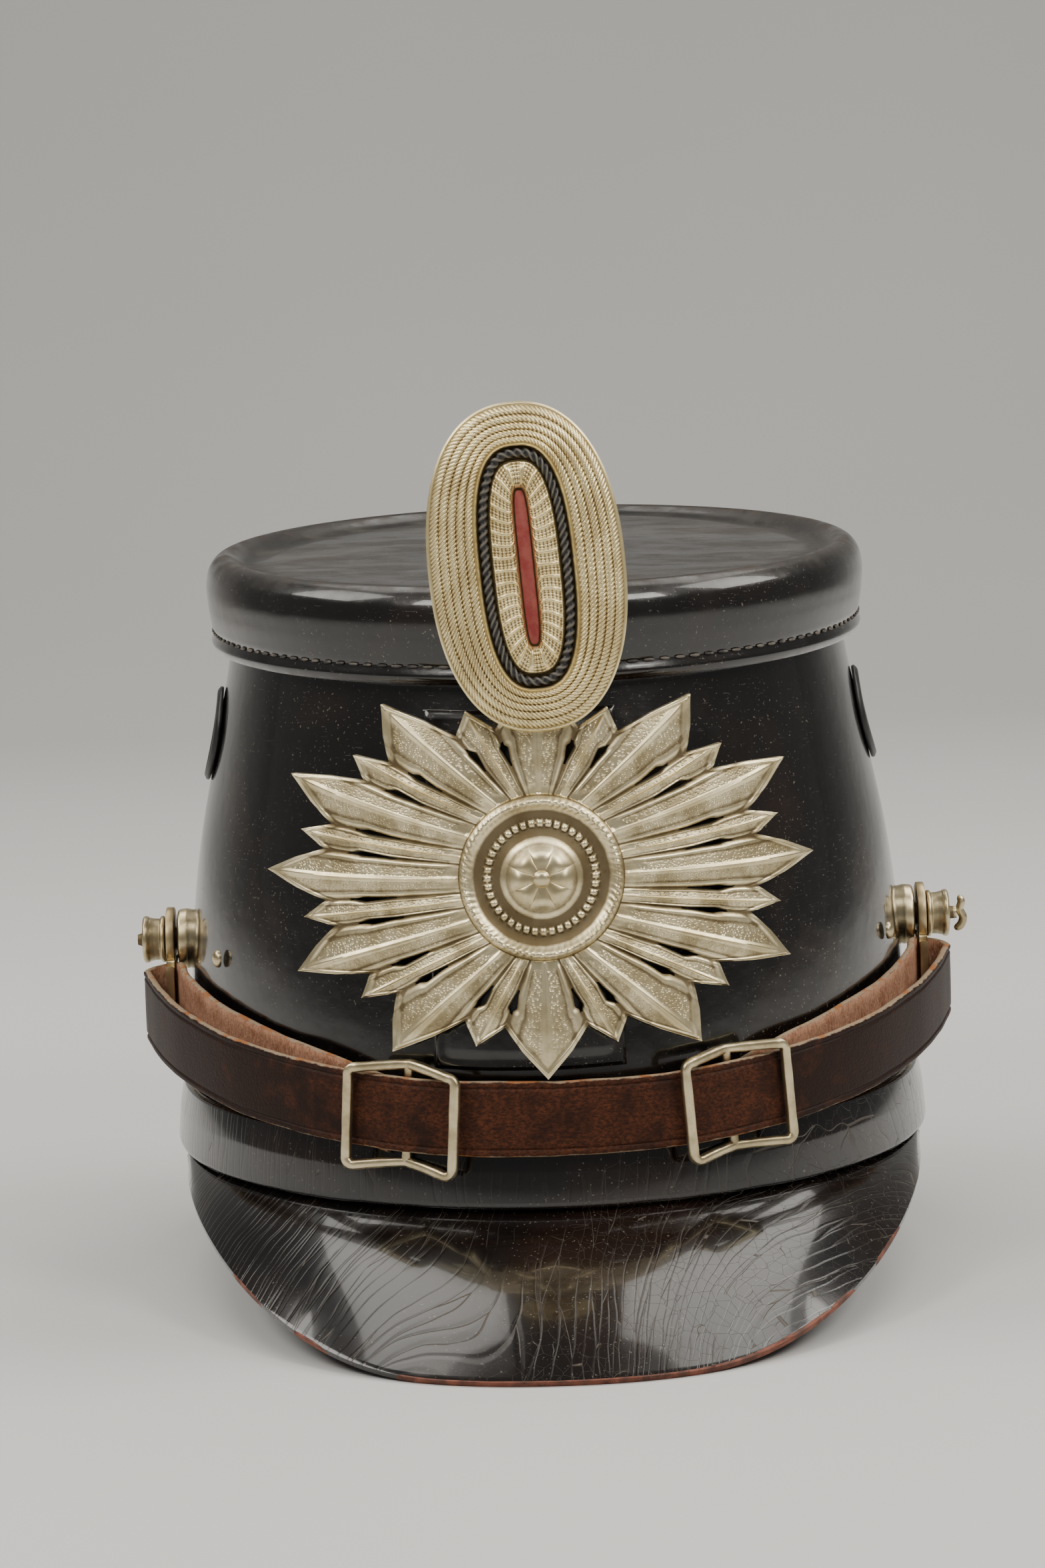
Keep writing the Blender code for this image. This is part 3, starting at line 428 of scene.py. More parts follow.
def pierced_plate(name: str, outlines: Sequence[Array], thickness: float, bevel: float,
                  place: Matrix) -> bpy.types.Mesh:
    """Make a flat plate with holes and softened edges, from a filled flat curve.

    Args:
        name: the mesh's name.
        outlines: the outer outline and then the holes, each an array of flat points.
        thickness: the plate's whole thickness.
        bevel: the size of the softened edge.
        place: matrix from the plate's frame, with Z through it, to the world.

    Returns:
        The plate's mesh, in world coordinates.
    """
    curve = bpy.data.curves.new(name, "CURVE")
    curve.dimensions = "2D"
    curve.fill_mode = "BOTH"
    curve.extrude = thickness / 2 - bevel
    curve.bevel_depth = bevel
    curve.bevel_resolution = 1
    curve.offset = -bevel
    for outline in outlines:
        spline = curve.splines.new("POLY")
        spline.points.add(len(outline) - 1)
        rows = np.concatenate([outline, np.zeros((len(outline), 1)), np.ones((len(outline), 1))], axis=1)
        spline.points.foreach_set("co", rows.ravel())
        spline.use_cyclic_u = True
    holder = bpy.data.objects.new(name, curve)
    bpy.context.scene.collection.objects.link(holder)
    bpy.context.view_layer.update()
    mesh = bpy.data.meshes.new_from_object(holder.evaluated_get(bpy.context.evaluated_depsgraph_get()))
    bpy.data.objects.remove(holder)
    bpy.data.curves.remove(curve)
    mesh.transform(place)
    turn_outwards(mesh, 1e-6)
    return mesh


def lathe(body: Body, profile: Array, place: Matrix, sides: int = 64, closed: bool = False,
          **layers: Array) -> None:
    """Turn a profile about the X axis of a frame.

    Args:
        body: the body that receives the surface.
        profile: rows of a distance along the axis and a radius.
        place: matrix from that frame to the world.
        sides: points round the axis.
        closed: True where the profile is a closed loop clear of the axis.
        layers: a column of values, one for each row of the profile.
    """
    turn = around(sides)
    x = np.repeat(profile[:, :1], sides, axis=1)
    grid = moved(np.stack([x, profile[:, 1:] * np.cos(turn), profile[:, 1:] * np.sin(turn)], -1), place)
    if closed:
        body.ring(grid, **layers)
    else:
        body.tube(grid, **layers)


def side_frame(side: str, height: float) -> Matrix:
    """The frame of a piece that points out of one side of the hat along its own X axis."""
    turn = Matrix.Rotation(0.0 if SIDES[side] > 0 else math.pi, 4, "Z")
    return Matrix.Translation((0.0, HAT_SHIFT[1], height)) @ turn


# ---- shader arithmetic
class Socket:
    """An output socket that can be reckoned with; numbers alone are worked out in Python."""

    def __init__(self, graph: "Graph", socket: bpy.types.NodeSocket) -> None:
        """Keep the graph and the socket."""
        self.graph = graph
        self.socket = socket

    def __add__(self, other: "Term") -> "Socket":
        """This plus another."""
        return self.graph.maths("ADD", self, other)

    def __radd__(self, other: "Term") -> "Socket":
        """Another plus this."""
        return self.graph.maths("ADD", other, self)

    def __sub__(self, other: "Term") -> "Socket":
        """This less another."""
        return self.graph.maths("SUBTRACT", self, other)

    def __rsub__(self, other: "Term") -> "Socket":
        """Another less this."""
        return self.graph.maths("SUBTRACT", other, self)

    def __mul__(self, other: "Term") -> "Socket":
        """This times another."""
        return self.graph.maths("MULTIPLY", self, other)

    def __rmul__(self, other: "Term") -> "Socket":
        """Another times this."""
        return self.graph.maths("MULTIPLY", other, self)


Term = Union[Socket, Number]
Colour = Tuple[float, float, float]


class Graph:
    """The node tree of one material, with its Principled shader."""

    def __init__(self, name: str, metallic: float = 0.0, **constants: float) -> None:
        """Make the material.

        Args:
            name: the material's name.
            metallic: the shader's constant metallic value.
            constants: further constant inputs of the shader, with _ for a space.
        """
        self.material = bpy.data.materials.new(name)
        self.material.use_nodes = True
        self.tree = self.material.node_tree
        self.shader = self.tree.nodes["Principled BSDF"]
        self.shader.inputs["Metallic"].default_value = metallic
        for key, value in constants.items():
            self.shader.inputs[key.replace("_", " ")].default_value = value

    def node(self, kind: str, settings: Dict[str, object], links: Dict[Union[str, int], object],
             output: Union[str, int] = 0) -> Socket:
        """Add a node.

        Args:
            kind: its type.
            settings: its settings, made before its sockets are used.
            links: what each of its inputs gets, a Socket or a value.
            output: which of its outputs is wanted.

        Returns:
            That output.
        """
        made = self.tree.nodes.new(kind)
        for key, value in settings.items():
            setattr(made, key, value)
        for key, value in links.items():
            self.feed(made.inputs[key], value)
        return Socket(self, made.outputs[output])

    def feed(self, target: bpy.types.NodeSocket, value: object) -> None:
        """Link a Socket to an input, or set the input's own value."""
        if isinstance(value, Socket):
            self.tree.links.new(value.socket, target)
        else:
            target.default_value = value

    def maths(self, operation: str, first: Term, second: Term = 0.0, third: Term = 0.0) -> Socket:
        """One Math node over sockets and numbers."""
        return self.node("ShaderNodeMath", {"operation": operation}, {0: first, 1: second, 2: third})

    def vector(self, operation: str, first: Socket, second: Union[Socket, Row]) -> Socket:
        """One Vector Math node."""
        return self.node("ShaderNodeVectorMath", {"operation": operation}, {0: first, 1: second})

    def place(self) -> Socket:
        """Object coordinates, in metres."""
        return self.node("ShaderNodeTexCoord", {}, {}, "Object")

    def parts(self, vector: Socket) -> Tuple[Socket, Socket, Socket]:
        """The three parts of a vector."""
        made = self.node("ShaderNodeSeparateXYZ", {}, {0: vector})
        return tuple(Socket(self, output) for output in made.socket.node.outputs)

    def joined(self, x: Term, y: Term, z: Term) -> Socket:
        """A vector from three parts."""
        return self.node("ShaderNodeCombineXYZ", {}, {0: x, 1: y, 2: z})

    def stretched(self, vector: Socket, factors: Row) -> Socket:
        """A vector with each part multiplied by its own factor."""
        return self.vector("MULTIPLY", vector, factors)

    def shifted(self, vector: Socket, other: Socket, amount: float) -> Socket:
        """A vector moved by a share of another, which bends a pattern."""
        return self.vector("ADD", vector, self.stretched(other, (amount,) * 3))

    def layer(self, name: str) -> Socket:
        """One of the mesh's own values."""
        return self.node("ShaderNodeAttribute", {"attribute_name": name}, {}, "Fac")

    def noise(self, vector: Socket, scale: float, detail: float = 2.0, roughness: float = 0.5) -> Socket:
        """Soft noise with this many lumps a metre."""
        return self.node("ShaderNodeTexNoise", {},
                         {"Vector": vector, "Scale": scale, "Detail": detail, "Roughness": roughness})

    def noise_vector(self, vector: Socket, scale: float, detail: float = 2.0) -> Socket:
        """Soft noise as a vector round zero."""
        links = {"Vector": vector, "Scale": scale, "Detail": detail}
        return self.vector("SUBTRACT", self.node("ShaderNodeTexNoise", {}, links, "Color"), (0.5, 0.5, 0.5))

    def cells(self, vector: Socket, scale: float, edges: bool = False) -> Socket:
        """Distance to the nearest seed of a cell pattern, or to the nearest edge between cells."""
        feature = {"feature": "DISTANCE_TO_EDGE" if edges else "F1"}
        return self.node("ShaderNodeTexVoronoi", feature, {"Vector": vector, "Scale": scale}, "Distance")

    def span(self, value: Term, low: float, high: float, start: float = 0.0, end: float = 1.0) -> Socket:
        """A smooth step of a value from low to high, given out as start to end."""
        links = {"Value": value, "From Min": low, "From Max": high, "To Min": start, "To Max": end}
        return self.node("ShaderNodeMapRange", {"interpolation_type": "SMOOTHSTEP"}, links, "Result")

    def mix(self, factor: Term, first: Union[Socket, Colour], second: Union[Socket, Colour]) -> Socket:
        """A colour between two colours."""
        links = {0: factor, 6: self.colour(first), 7: self.colour(second)}
        return self.node("ShaderNodeMix", {"data_type": "RGBA"}, links, 2)

    def colour(self, value: Union[Socket, Colour]) -> Union[Socket, Row]:
        """A Socket as it is, or a colour with its alpha."""
        return value if isinstance(value, Socket) else (*value, 1.0)

    def bump(self, height: Socket, depth: float, below: Optional[Socket] = None) -> Socket:
        """A surface normal from a height of 0 to 1 that stands for a depth in metres."""
        links = {"Height": height, "Distance": depth, "Strength": 1.0}
        if below is not None:
            links["Normal"] = below
        return self.node("ShaderNodeBump", {}, links)

    def done(self, colour: Union[Socket, Colour], roughness: Term, normal: Optional[Socket] = None,
             **others: Term) -> bpy.types.Material:
        """Feed the shader.

        Args:
            colour: the base colour.
            roughness: the roughness.
            normal: the surface normal, where it is more than the mesh's.
            others: Metallic or Coat Weight, with _ for a space.

        Returns:
            The material.
        """
        self.feed(self.shader.inputs["Base Color"], self.colour(colour))
        self.feed(self.shader.inputs["Roughness"], roughness)
        if normal is not None:
            self.feed(self.shader.inputs["Normal"], normal)
        for key, value in others.items():
            self.feed(self.shader.inputs[key.replace("_", " ")], value)
        return self.material


# ---- finishes
FINEST = 1500.0  # lumps a metre of the finest grain, specks and pores


class Slot(Enum):
    """The record's material slots."""

    CROWN = "crown_leather"
    VISOR = "visor_leather"
    STRAP = "strap_leather"
    NICKEL = "nickel_silver"
    COCKADE = "cockade_silver"
    BLACK = "black_metal"
    RED = "red_paint"


@dataclass(frozen=True)
class Lacquer:
    """Glossy black lacquer over leather: an uneven skin, dust, fine scratches and worn brown edges."""

    name: str = "black_lacquer"
    skin: Colour = (0.0036, 0.0030, 0.0028)
    worn: Colour = (0.050, 0.022, 0.010)
    dust: Colour = (0.20, 0.175, 0.14)
    film: float = 0.26

    def make(self) -> bpy.types.Material:
        """Build the material."""
        g = Graph(self.name, Coat_Roughness=0.06, Specular_IOR_Level=0.45)
        place = g.place()
        broad = g.noise(place, 38.0, 3.0)
        lumps = g.noise(place, 210.0, 3.0)
        grain = g.noise(place, FINEST, 2.0)
        scratches = g.span(g.noise(g.stretched(place, (1.0, 1.0, 9.0)), 260.0, 4.0, 0.7), 0.63, 0.70)
        specks = g.span(g.noise(place, FINEST, 1.0), 0.685, 0.74) * g.span(broad, 0.36, 0.56)
        wear = g.layer("wear") * g.span(lumps, 0.35, 0.62)
        dusty = g.layer("dust")
        smear = g.noise(g.stretched(place, (1.0, 2.2, 1.0)), 48.0, 6.0, 0.72)
        film = g.span(smear, 0.38, 0.86) * dusty
        colour = g.mix(wear, g.mix(g.span(broad, 0.46, 0.80, 0.0, 0.22), self.skin, self.worn), self.worn)
        colour = g.mix(film * self.film, colour, self.dust)
        colour = g.mix(specks * 0.60 + scratches * 0.10, colour, self.dust)
        rough = 0.13 + 0.10 * broad + 0.10 * scratches + 0.34 * film + 0.35 * wear + 0.20 * dusty
        skin = g.bump(g.noise(place, 95.0, 2.0), 0.00022)
        skin = g.bump(lumps, 0.00008, skin)
        skin = g.bump(grain * 0.5 - scratches * 0.6, 0.000012, skin)
        coat = g.maths("MAXIMUM", 0.90 - film - wear - 0.8 * dusty, 0.0)
        return g.done(colour, rough, skin, Coat_Weight=coat)


@dataclass(frozen=True)
class Patent:
    """Crazed patent leather: black lacquer with open cracks and a red-brown ground at its edge."""

    name: str = "crazed_patent"
    skin: Colour = (0.0042, 0.0034, 0.0032)
    brown: Colour = (0.030, 0.013, 0.008)
    crack: Colour = (0.115, 0.095, 0.072)
    ground: Colour = (0.240, 0.075, 0.042)
    ground_dark: Colour = (0.085, 0.030, 0.018)
    dust: Colour = (0.20, 0.18, 0.15)
    middle: float = -0.090
    long_cells: float = 310.0
    net_cells: float = 270.0
    drawn_out: float = 0.07
    crack_depth: float = 0.00006

    def lines(self, g: Graph, place: Socket) -> Socket:
        """Long cracks that stand straight in the middle and lean to the right at both sides.

        Each runs along across = start + lean * (along - middle); the lean grows with the distance from
        the middle of the visor. Cells drawn out along these lines give the cracks as their edges.

        Args:
            g: the graph.
            place: the place on the surface.

        Returns:
            The distance to the nearest crack, in cells.
        """
        bent = g.shifted(place, g.noise_vector(place, 42.0, 2.0), 0.0045)
        across, along, up = g.parts(bent)
        off = g.maths("ABSOLUTE", across)
        lean = g.span(off, 0.006, 0.050, 0.10, 0.92)
        start = across + lean * (g.maths("ABSOLUTE", along) + self.middle)
        return g.cells(g.joined(start, along * self.drawn_out, up * self.drawn_out), self.long_cells, True)

    def make(self) -> bpy.types.Material:
        """Build the material."""
        g = Graph(self.name, Coat_Roughness=0.05, Specular_IOR_Level=0.45)
        place = g.place()
        across, along, up = g.parts(place)
        lines = self.lines(g, place)
        bent = g.shifted(place, g.noise_vector(place, 90.0, 2.0), 0.003)
        net = g.cells(bent, self.net_cells, True)
        broad = g.noise(place, 30.0, 2.0)
        corner = g.span(across - 0.8 * (along - self.middle) + 0.05 * (broad - 0.5), 0.012, 0.040)
        below = g.span(up, 0.0285, 0.0335, 1.0, 0.60) * g.span(along, 0.0, 0.05, 1.0, 0.45)
        long_cracks = g.span(lines, 0.0015, 0.010, 1.0, 0.0)
        long_cracks = long_cracks * g.span(g.noise(place, 55.0, 2.0), 0.38, 0.50) * below
        net_cracks = g.span(net, 0.0015, 0.008, 1.0, 0.0) * corner * below
        cracks = g.maths("MAXIMUM", long_cracks, net_cracks)
        lumps = g.noise(place, 240.0, 3.0)
        specks = g.span(g.noise(place, FINEST, 1.0), 0.69, 0.75) * g.span(broad, 0.36, 0.56)
        patch = g.span(across + 0.05 * (g.noise(place, 45.0, 1.0) - 0.5), -0.006, 0.004)
        patch = g.maths("MAXIMUM", patch * g.span(across, 0.066, 0.056),
                        g.span(g.noise(place, 38.0, 1.0), 0.52, 0.60))
        chips = 0.50 * (g.noise(place, 150.0, 4.0, 0.65) - 0.5)
        bare = g.span(g.layer("edge") * (0.55 + 0.85 * patch) + chips, 0.66, 0.71)
        colour = g.mix(g.span(broad, 0.40, 0.75, 0.0, 0.35), self.skin, self.brown)
        colour = g.mix(cracks * 0.80, colour, self.crack)
        ground = g.mix(g.span(lumps, 0.35, 0.65), self.ground, self.ground_dark)
        colour = g.mix(bare, colour, ground)
        colour = g.mix(specks * 0.55, colour, self.dust)
        rough = 0.13 + 0.05 * lumps + 0.40 * cracks + 0.45 * bare
        skin = g.bump(g.noise(place, 60.0, 1.0), 0.00012)
        skin = g.bump(g.span(lines, 0.0, 0.10), 0.00003, skin)
        skin = g.bump(1.0 - cracks, self.crack_depth, skin)
        skin = g.bump(lumps * 0.3 - bare, 0.00003, skin)
        coat = g.maths("MAXIMUM", 0.6 - bare - 1.2 * cracks, 0.0)
        return g.done(colour, rough, skin, Coat_Weight=coat)


@dataclass(frozen=True)
class StrapLeather:
    """Worn dark brown grain leather with a fuzzy flesh side and pale rubbed edges."""

    name: str = "strap_leather"
    grain: Colour = (0.0190, 0.0080, 0.0052)
    rubbed: Colour = (0.105, 0.033, 0.014)
    flesh: Colour = (0.44, 0.245, 0.155)
    flesh_dark: Colour = (0.235, 0.098, 0.052)
    pale: Colour = (0.36, 0.265, 0.175)
    chipped: Colour = (0.38, 0.155, 0.060)

    def make(self) -> bpy.types.Material:
        """Build the material."""
        g = Graph(self.name, Specular_IOR_Level=0.14)
        place = g.place()
        side, edge, worn = g.layer("flesh"), g.layer("edge"), g.layer("worn")
        pores = g.cells(place, FINEST)
        blotch = g.noise(place, 150.0, 4.0, 0.6)
        speckle = g.span(g.noise(g.stretched(place, (0.6, 0.6, 1.0)), 1700.0, 4.0, 0.75), 0.36, 0.66)
        fibres = g.noise(g.stretched(place, (1.0, 1.0, 0.35)), 2300.0, 4.0, 0.7)
        rub = g.span(blotch + 0.30 * worn, 0.52, 0.90) * (0.12 + 0.88 * speckle)
        colour = g.mix(rub, self.grain, self.rubbed)
        fuzz = g.mix(g.span(fibres * 0.6 + blotch * 0.4, 0.36, 0.60), self.flesh_dark, self.flesh)
        colour = g.mix(side, colour, fuzz)
        raw = g.span(edge + 0.9 * (g.noise(place, 380.0, 4.0, 0.65) - 0.5), 0.60, 0.86)
        tan = g.mix(g.span(g.noise(place, 230.0, 2.0), 0.50, 0.66), self.pale, self.chipped)
        colour = g.mix(raw * 0.9, colour, tan)
        rough = 0.46 + 0.16 * rub + 0.34 * side + 0.25 * raw
        height = pores * 0.45 + speckle * 0.20 + g.noise(place, 420.0, 3.0) * 0.6
        skin = g.bump(height, 0.00014)
        skin = g.bump(fibres * side, 0.00030, skin)
        return g.done(colour, rough, skin)


@dataclass(frozen=True)
class WornMetal:
    """Satin metal with dark patina in its recesses, which in the cockade's rope grooves is also painted
    shade, and brighter rubbed heights.
    """

    name: str
    bright: Colour
    dull: Colour
    patina_and_shade: Colour
    rough: float = 0.30
    stipple: float = 0.0

    def make(self) -> bpy.types.Material:
        """Build the material."""
        g = Graph(self.name, metallic=1.0)
        place = g.place()
        blotch = g.noise(place, 130.0, 5.0, 0.62)
        fine = g.noise(place, 900.0, 3.0, 0.6)
        grain = g.noise(g.stretched(place, (1.0, 1.0, 4.0)), FINEST, 2.0)
        recess = g.layer("recess")
        # Darker towards the patina colour in recesses: real patina, and painted shade in the grooves of the
        # cockade's ropes.
        tarnish_and_shade = g.span(recess + 0.45 * (blotch - 0.5) + 0.20 * (fine - 0.5), 0.18, 0.80)
        spots = g.span(g.noise(place, 420.0, 4.0, 0.7), 0.64, 0.72)
        colour = g.mix(g.span(blotch, 0.38, 0.66), self.bright, self.dull)
        colour = g.mix(tarnish_and_shade * 0.86, colour, self.patina_and_shade)
        colour = g.mix(spots * 0.5, colour, self.patina_and_shade)
        rough = self.rough + 0.16 * blotch + 0.24 * tarnish_and_shade + 0.12 * spots
        skin = g.bump(grain * 0.5 + fine * 0.5, 0.00002)
        if self.stipple > 0:
            dots = g.span(g.cells(place, FINEST), 0.10, 0.55) * g.layer("ground")
            skin = g.bump(dots, self.stipple, skin)
        return g.done(colour, rough, skin)


@dataclass(frozen=True)
class Enamel:
    """Brushed paint on metal, chipped and faded towards its edges, with painted glints of bare metal on the
    twisted ring's strand tops.
    """

    name: str
    paint: Colour
    faded: Colour
    bare: Colour
    rough: float = 0.35

    def make(self) -> bpy.types.Material:
        """Build the material."""
        g = Graph(self.name, Specular_IOR_Level=0.5)
        place = g.place()
        blotch = g.noise(place, 300.0, 4.0, 0.6)
        fine = g.noise(place, 1400.0, 3.0)
        wear = g.layer("wear")
        chips = g.span(g.noise(place, 650.0, 4.0, 0.7) + 0.10 * wear, 0.72, 0.80)
        colour = g.mix(g.span(blotch, 0.35, 0.65), self.paint, self.faded)
        # Towards bare metal where the layer is high: worn paint, and on the twisted ring a painted glint on
        # each strand's top.
        colour = g.mix(g.span(wear, 0.45, 1.0, 0.0, 0.60), colour, self.bare)
        colour = g.mix(chips, colour, self.bare)
        rough = self.rough + 0.25 * blotch + 0.10 * fine
        return g.done(colour, rough, g.bump(fine * 0.4 - chips * 0.6 + blotch * 0.4, 0.00004))


@dataclass(frozen=True)
class Thread:
    """Waxed thread, dark with rubbed light strands."""

    name: str = "waxed_thread"
    dark: Colour = (0.012, 0.010, 0.009)
    light: Colour = (0.135, 0.115, 0.090)

    def make(self) -> bpy.types.Material:
        """Build the material."""
        g = Graph(self.name)
        place = g.place()
        colour = g.mix(g.span(g.noise(place, 330.0, 3.0, 0.6), 0.40, 0.62), self.dark, self.light)
        return g.done(colour, 0.55, g.bump(g.noise(place, 2600.0, 2.0), 0.00005))


@dataclass(frozen=True)
class Finish:
    """A material and the record's slot that it stands for."""

    material: bpy.types.Material
    slot: Slot


class Finishes:
    """Every finish of the hat, made once."""

    def __init__(self) -> None:
        """Make the finishes."""
        self.lacquer = Finish(Lacquer().make(), Slot.CROWN)
        self.patent = Finish(Patent().make(), Slot.VISOR)
        self.strap = Finish(StrapLeather().make(), Slot.STRAP)
        self.thread = Finish(Thread().make(), Slot.CROWN)
        nickel = WornMetal("nickel_silver", (0.76, 0.650, 0.415), (0.48, 0.395, 0.235),
                           (0.078, 0.050, 0.023), 0.26)
        plate = WornMetal("plate_silver", (0.90, 0.785, 0.510), (0.62, 0.520, 0.305),
                          (0.090, 0.057, 0.024), 0.26, 0.00012)
        brass = WornMetal("hook_brass", (0.62, 0.50, 0.29), (0.44, 0.34, 0.19), (0.085, 0.055, 0.028), 0.34)
        cockade = WornMetal("cockade_silver", (1.00, 0.845, 0.475), (0.83, 0.675, 0.350),
                            (0.17, 0.105, 0.042), 0.29)
        black = Enamel("black_lacquered_metal", (0.009, 0.009, 0.010), (0.018, 0.017, 0.016),
                       (0.26, 0.235, 0.20), 0.24)
        red = Enamel("red_enamel", (0.24, 0.028, 0.026), (0.30, 0.070, 0.055), (0.46, 0.38, 0.27), 0.62)
        self.nickel = Finish(nickel.make(), Slot.NICKEL)
        self.plate = Finish(plate.make(), Slot.NICKEL)
        self.brass = Finish(brass.make(), Slot.NICKEL)
        self.cockade = Finish(cockade.make(), Slot.COCKADE)
        self.black_metal = Finish(black.make(), Slot.BLACK)
        self.red = Finish(red.make(), Slot.RED)


# ---- the crown
VENT_FORWARD, VENT_HEIGHT, VENT_HOLE_RADIUS = 0.0060, 0.1308, 0.0088


@dataclass
class Crown:
    """The crown's wall with its two vent holes, the top piece with its rolled rim, and the stitches.

    The rows of rim and lining are a height and a half width.
    """

    finishes: Finishes
    columns: int = 288
    rows: int = 64
    wall: float = 0.0020
    block: Tuple[int, int] = (3, 7)
    rim: Table = (
        (0.1525, 0.0789), (0.1530, 0.0794), (0.1567, 0.0797), (0.1630, 0.0806), (0.1686, 0.0808),
        (0.1720, 0.0799), (0.1741, 0.0781), (0.1749, 0.0757), (0.1741, 0.0738), (0.1732, 0.0722),
        (0.1730, 0.0640), (0.1730, 0.0400),
    )
    lining: Table = (
        (0.1706, 0.0400), (0.1706, 0.0560), (0.1706, 0.0690), (0.1702, 0.0742), (0.1688, 0.0768),
        (0.1660, 0.0780), (0.1600, 0.0776), (0.1525, 0.0767),
    )
    extra_length: float = 0.0120
    sag: float = 0.0003
    tilt_start: float = 0.1490
    inner_ring: float = 0.0400
    panel_edge: Tuple[float, float] = (0.0745, 0.0700)
    groove: float = 0.0797
    panel_top: float = 0.1733
    panel_under: float = 0.1709
    stitch_height: float = 0.1567
    stitch_pitch: float = 0.0040
    stitch_length: float = 0.0027
    stitch_radius: float = 0.00040

    def places(self) -> Tuple[Array, Array, Array]:
        """Lay out the wall's grid, with a square block of cells at each vent drawn to a circle.

        Between the block's square of cells and a larger one the grid turns smoothly from the circle back
        to even steps, by a straight blend of the two places along each ray from the vent's middle.

        Returns:
            The angle and height of each point, and which cells are there.
        """
        foot, top = CROWN_SECTIONS[0, 0], CROWN_SECTIONS[-1, 0]
        pitch, rise = 2 * math.pi / self.columns, (top - foot) / self.rows
        row_numbers, column_numbers = np.indices((self.rows + 1, self.columns))
        angle, height = column_numbers * pitch, foot + row_numbers * rise
        keep = np.ones((self.rows, self.columns), dtype=bool)
        inner, outer = self.block
        arc = crown_oval(VENT_HEIGHT)[1]
        for side in SIDES:
            centre = forward_angle(side, VENT_FORWARD, VENT_HEIGHT) % (2 * math.pi)
            column, row = round(centre / pitch), round((VENT_HEIGHT - foot) / rise)
            i, j = column_numbers - column, row_numbers - row
            reach = np.maximum(np.abs(i), np.abs(j))
            near = (reach >= inner) & (reach < outer)
            i, j, reach = i[near], j[near], reach[near]
            share, length = (reach - inner) / (outer - inner), np.hypot(i, j)
            angle[near] = ((1 - share) * (centre + i / length * VENT_HOLE_RADIUS / arc)
                           + share * (column + i / reach * outer) * pitch)
            height[near] = ((1 - share) * (VENT_HEIGHT + j / length * VENT_HOLE_RADIUS)
                            + share * (foot + (row + j / reach * outer) * rise))
            cell_i, cell_j = (column_numbers - column)[:-1] + 0.5, (row_numbers - row)[:-1] + 0.5
            keep &= np.maximum(np.abs(cell_i), np.abs(cell_j)) > inner
        return angle, height, keep

    def build_wall(self) -> None:
        """Build the wall: a slightly wavy sheet whose top follows the tilt of the top piece."""
        angle, height, keep = self.places()
        sag = -self.sag + ripple(angle + 3.0 * height, ((2, 0.0001), (5, 0.0001), (9, 0.00006)), 4)
        sides = []
        for depth in (0.0, -self.wall):
            grid = round_crown(angle, height, sag + depth)
            tilted = step(height, self.tilt_start, CROWN_SECTIONS[-1, 0])
            grid[..., 2] += (grid[..., 1] - HAT_SHIFT[1]) * TOP_TILT * tilted
            sides.append(grid)
        body = Body("crown_wall")
        low = hump(height, 0.050, 0.012) * 0.25
        body.sheet(*sides, keep=keep, tube=True, dust=0.10 + low, wear=0.05 * hump(height, 0.026, 0.004))
        body.make(self.finishes.lacquer, "crown_body")

    def cap_grid(self, rows: Array, angle: Array) -> Array:
        """Carry the top piece's profile round its oval and tilt it.

        The half length exceeds the half width by extra_length, less and less inside the last ring.

        Args:
            rows: height and half width of each row.
            angle: angles round the oval.

        Returns:
            The grid of world points.
        """
        height, half_width = rows[:, :1], rows[:, 1:2]
        half_length = half_width + self.extra_length * np.minimum(1.0, half_width / self.inner_ring)
        x, y = half_width * np.sin(angle), -half_length * np.cos(angle)
        return np.stack([x, y, height + y * TOP_TILT], -1) + HAT_SHIFT

    def build_cap(self) -> None:
        """Build the top piece: lower lip, stitch groove, rolled rim, sunken panel and its underside."""
        outside = smooth_curve(self.rim, 110)
        outside[:, 1] -= 0.00035 * hump(outside[:, 0], self.stitch_height, 0.0006) * (outside[:, 1] > 0.078)
        outside[:, 1] += 0.00030 * hump(outside[:, 0], 0.1544, 0.0007) * (outside[:, 1] > 0.078)
        share = np.linspace(0.96, 0.04, 12)[:, None]
        dip = (self.rim[-1][0] - self.panel_top) * share ** 2
        centre = np.concatenate([self.panel_top + dip, self.inner_ring * share], 1)
        under = smooth_curve(self.lining, 30)
        under_centre = np.stack([np.full(6, self.panel_under), np.linspace(0.005, 0.035, 6)], -1)
        top = np.concatenate([under_centre, under, outside, centre])
        angle = around(self.columns)
        grid = self.cap_grid(top, angle)
        width = top[:, 1:2]
        on_top = (np.arange(len(top)) >= len(under_centre) + len(under)).astype(float)[:, None]
        panel = on_top * step(width, *self.panel_edge)
        waves = ripple(angle, ((2, 1.0), (3, 0.8), (5, 0.5)), 9)
        grid[..., 2] += panel * 0.00022 * (waves * np.sin(width * 70.0) - 0.8)
        rim = on_top * (1 - panel)
        top_face = rim * step(top[:, :1], 0.1700, 0.1745)
        dust = panel * (0.75 + 0.5 * hump(width, 0.0715, 0.0035)) + top_face * 0.55 + rim * 0.12
        wear = rim * (0.30 * hump(top[:, :1], 0.1749, 0.0012) + 0.22 * hump(top[:, :1], 0.1528, 0.0010))
        body = Body("crown_top")
        poles = [(0.0, HAT_SHIFT[1], height) for height in (self.panel_under, self.panel_top)]
        body.tube(grid, *poles, dust=dust, wear=wear)
        body.make(self.finishes.lacquer, "crown_cap")

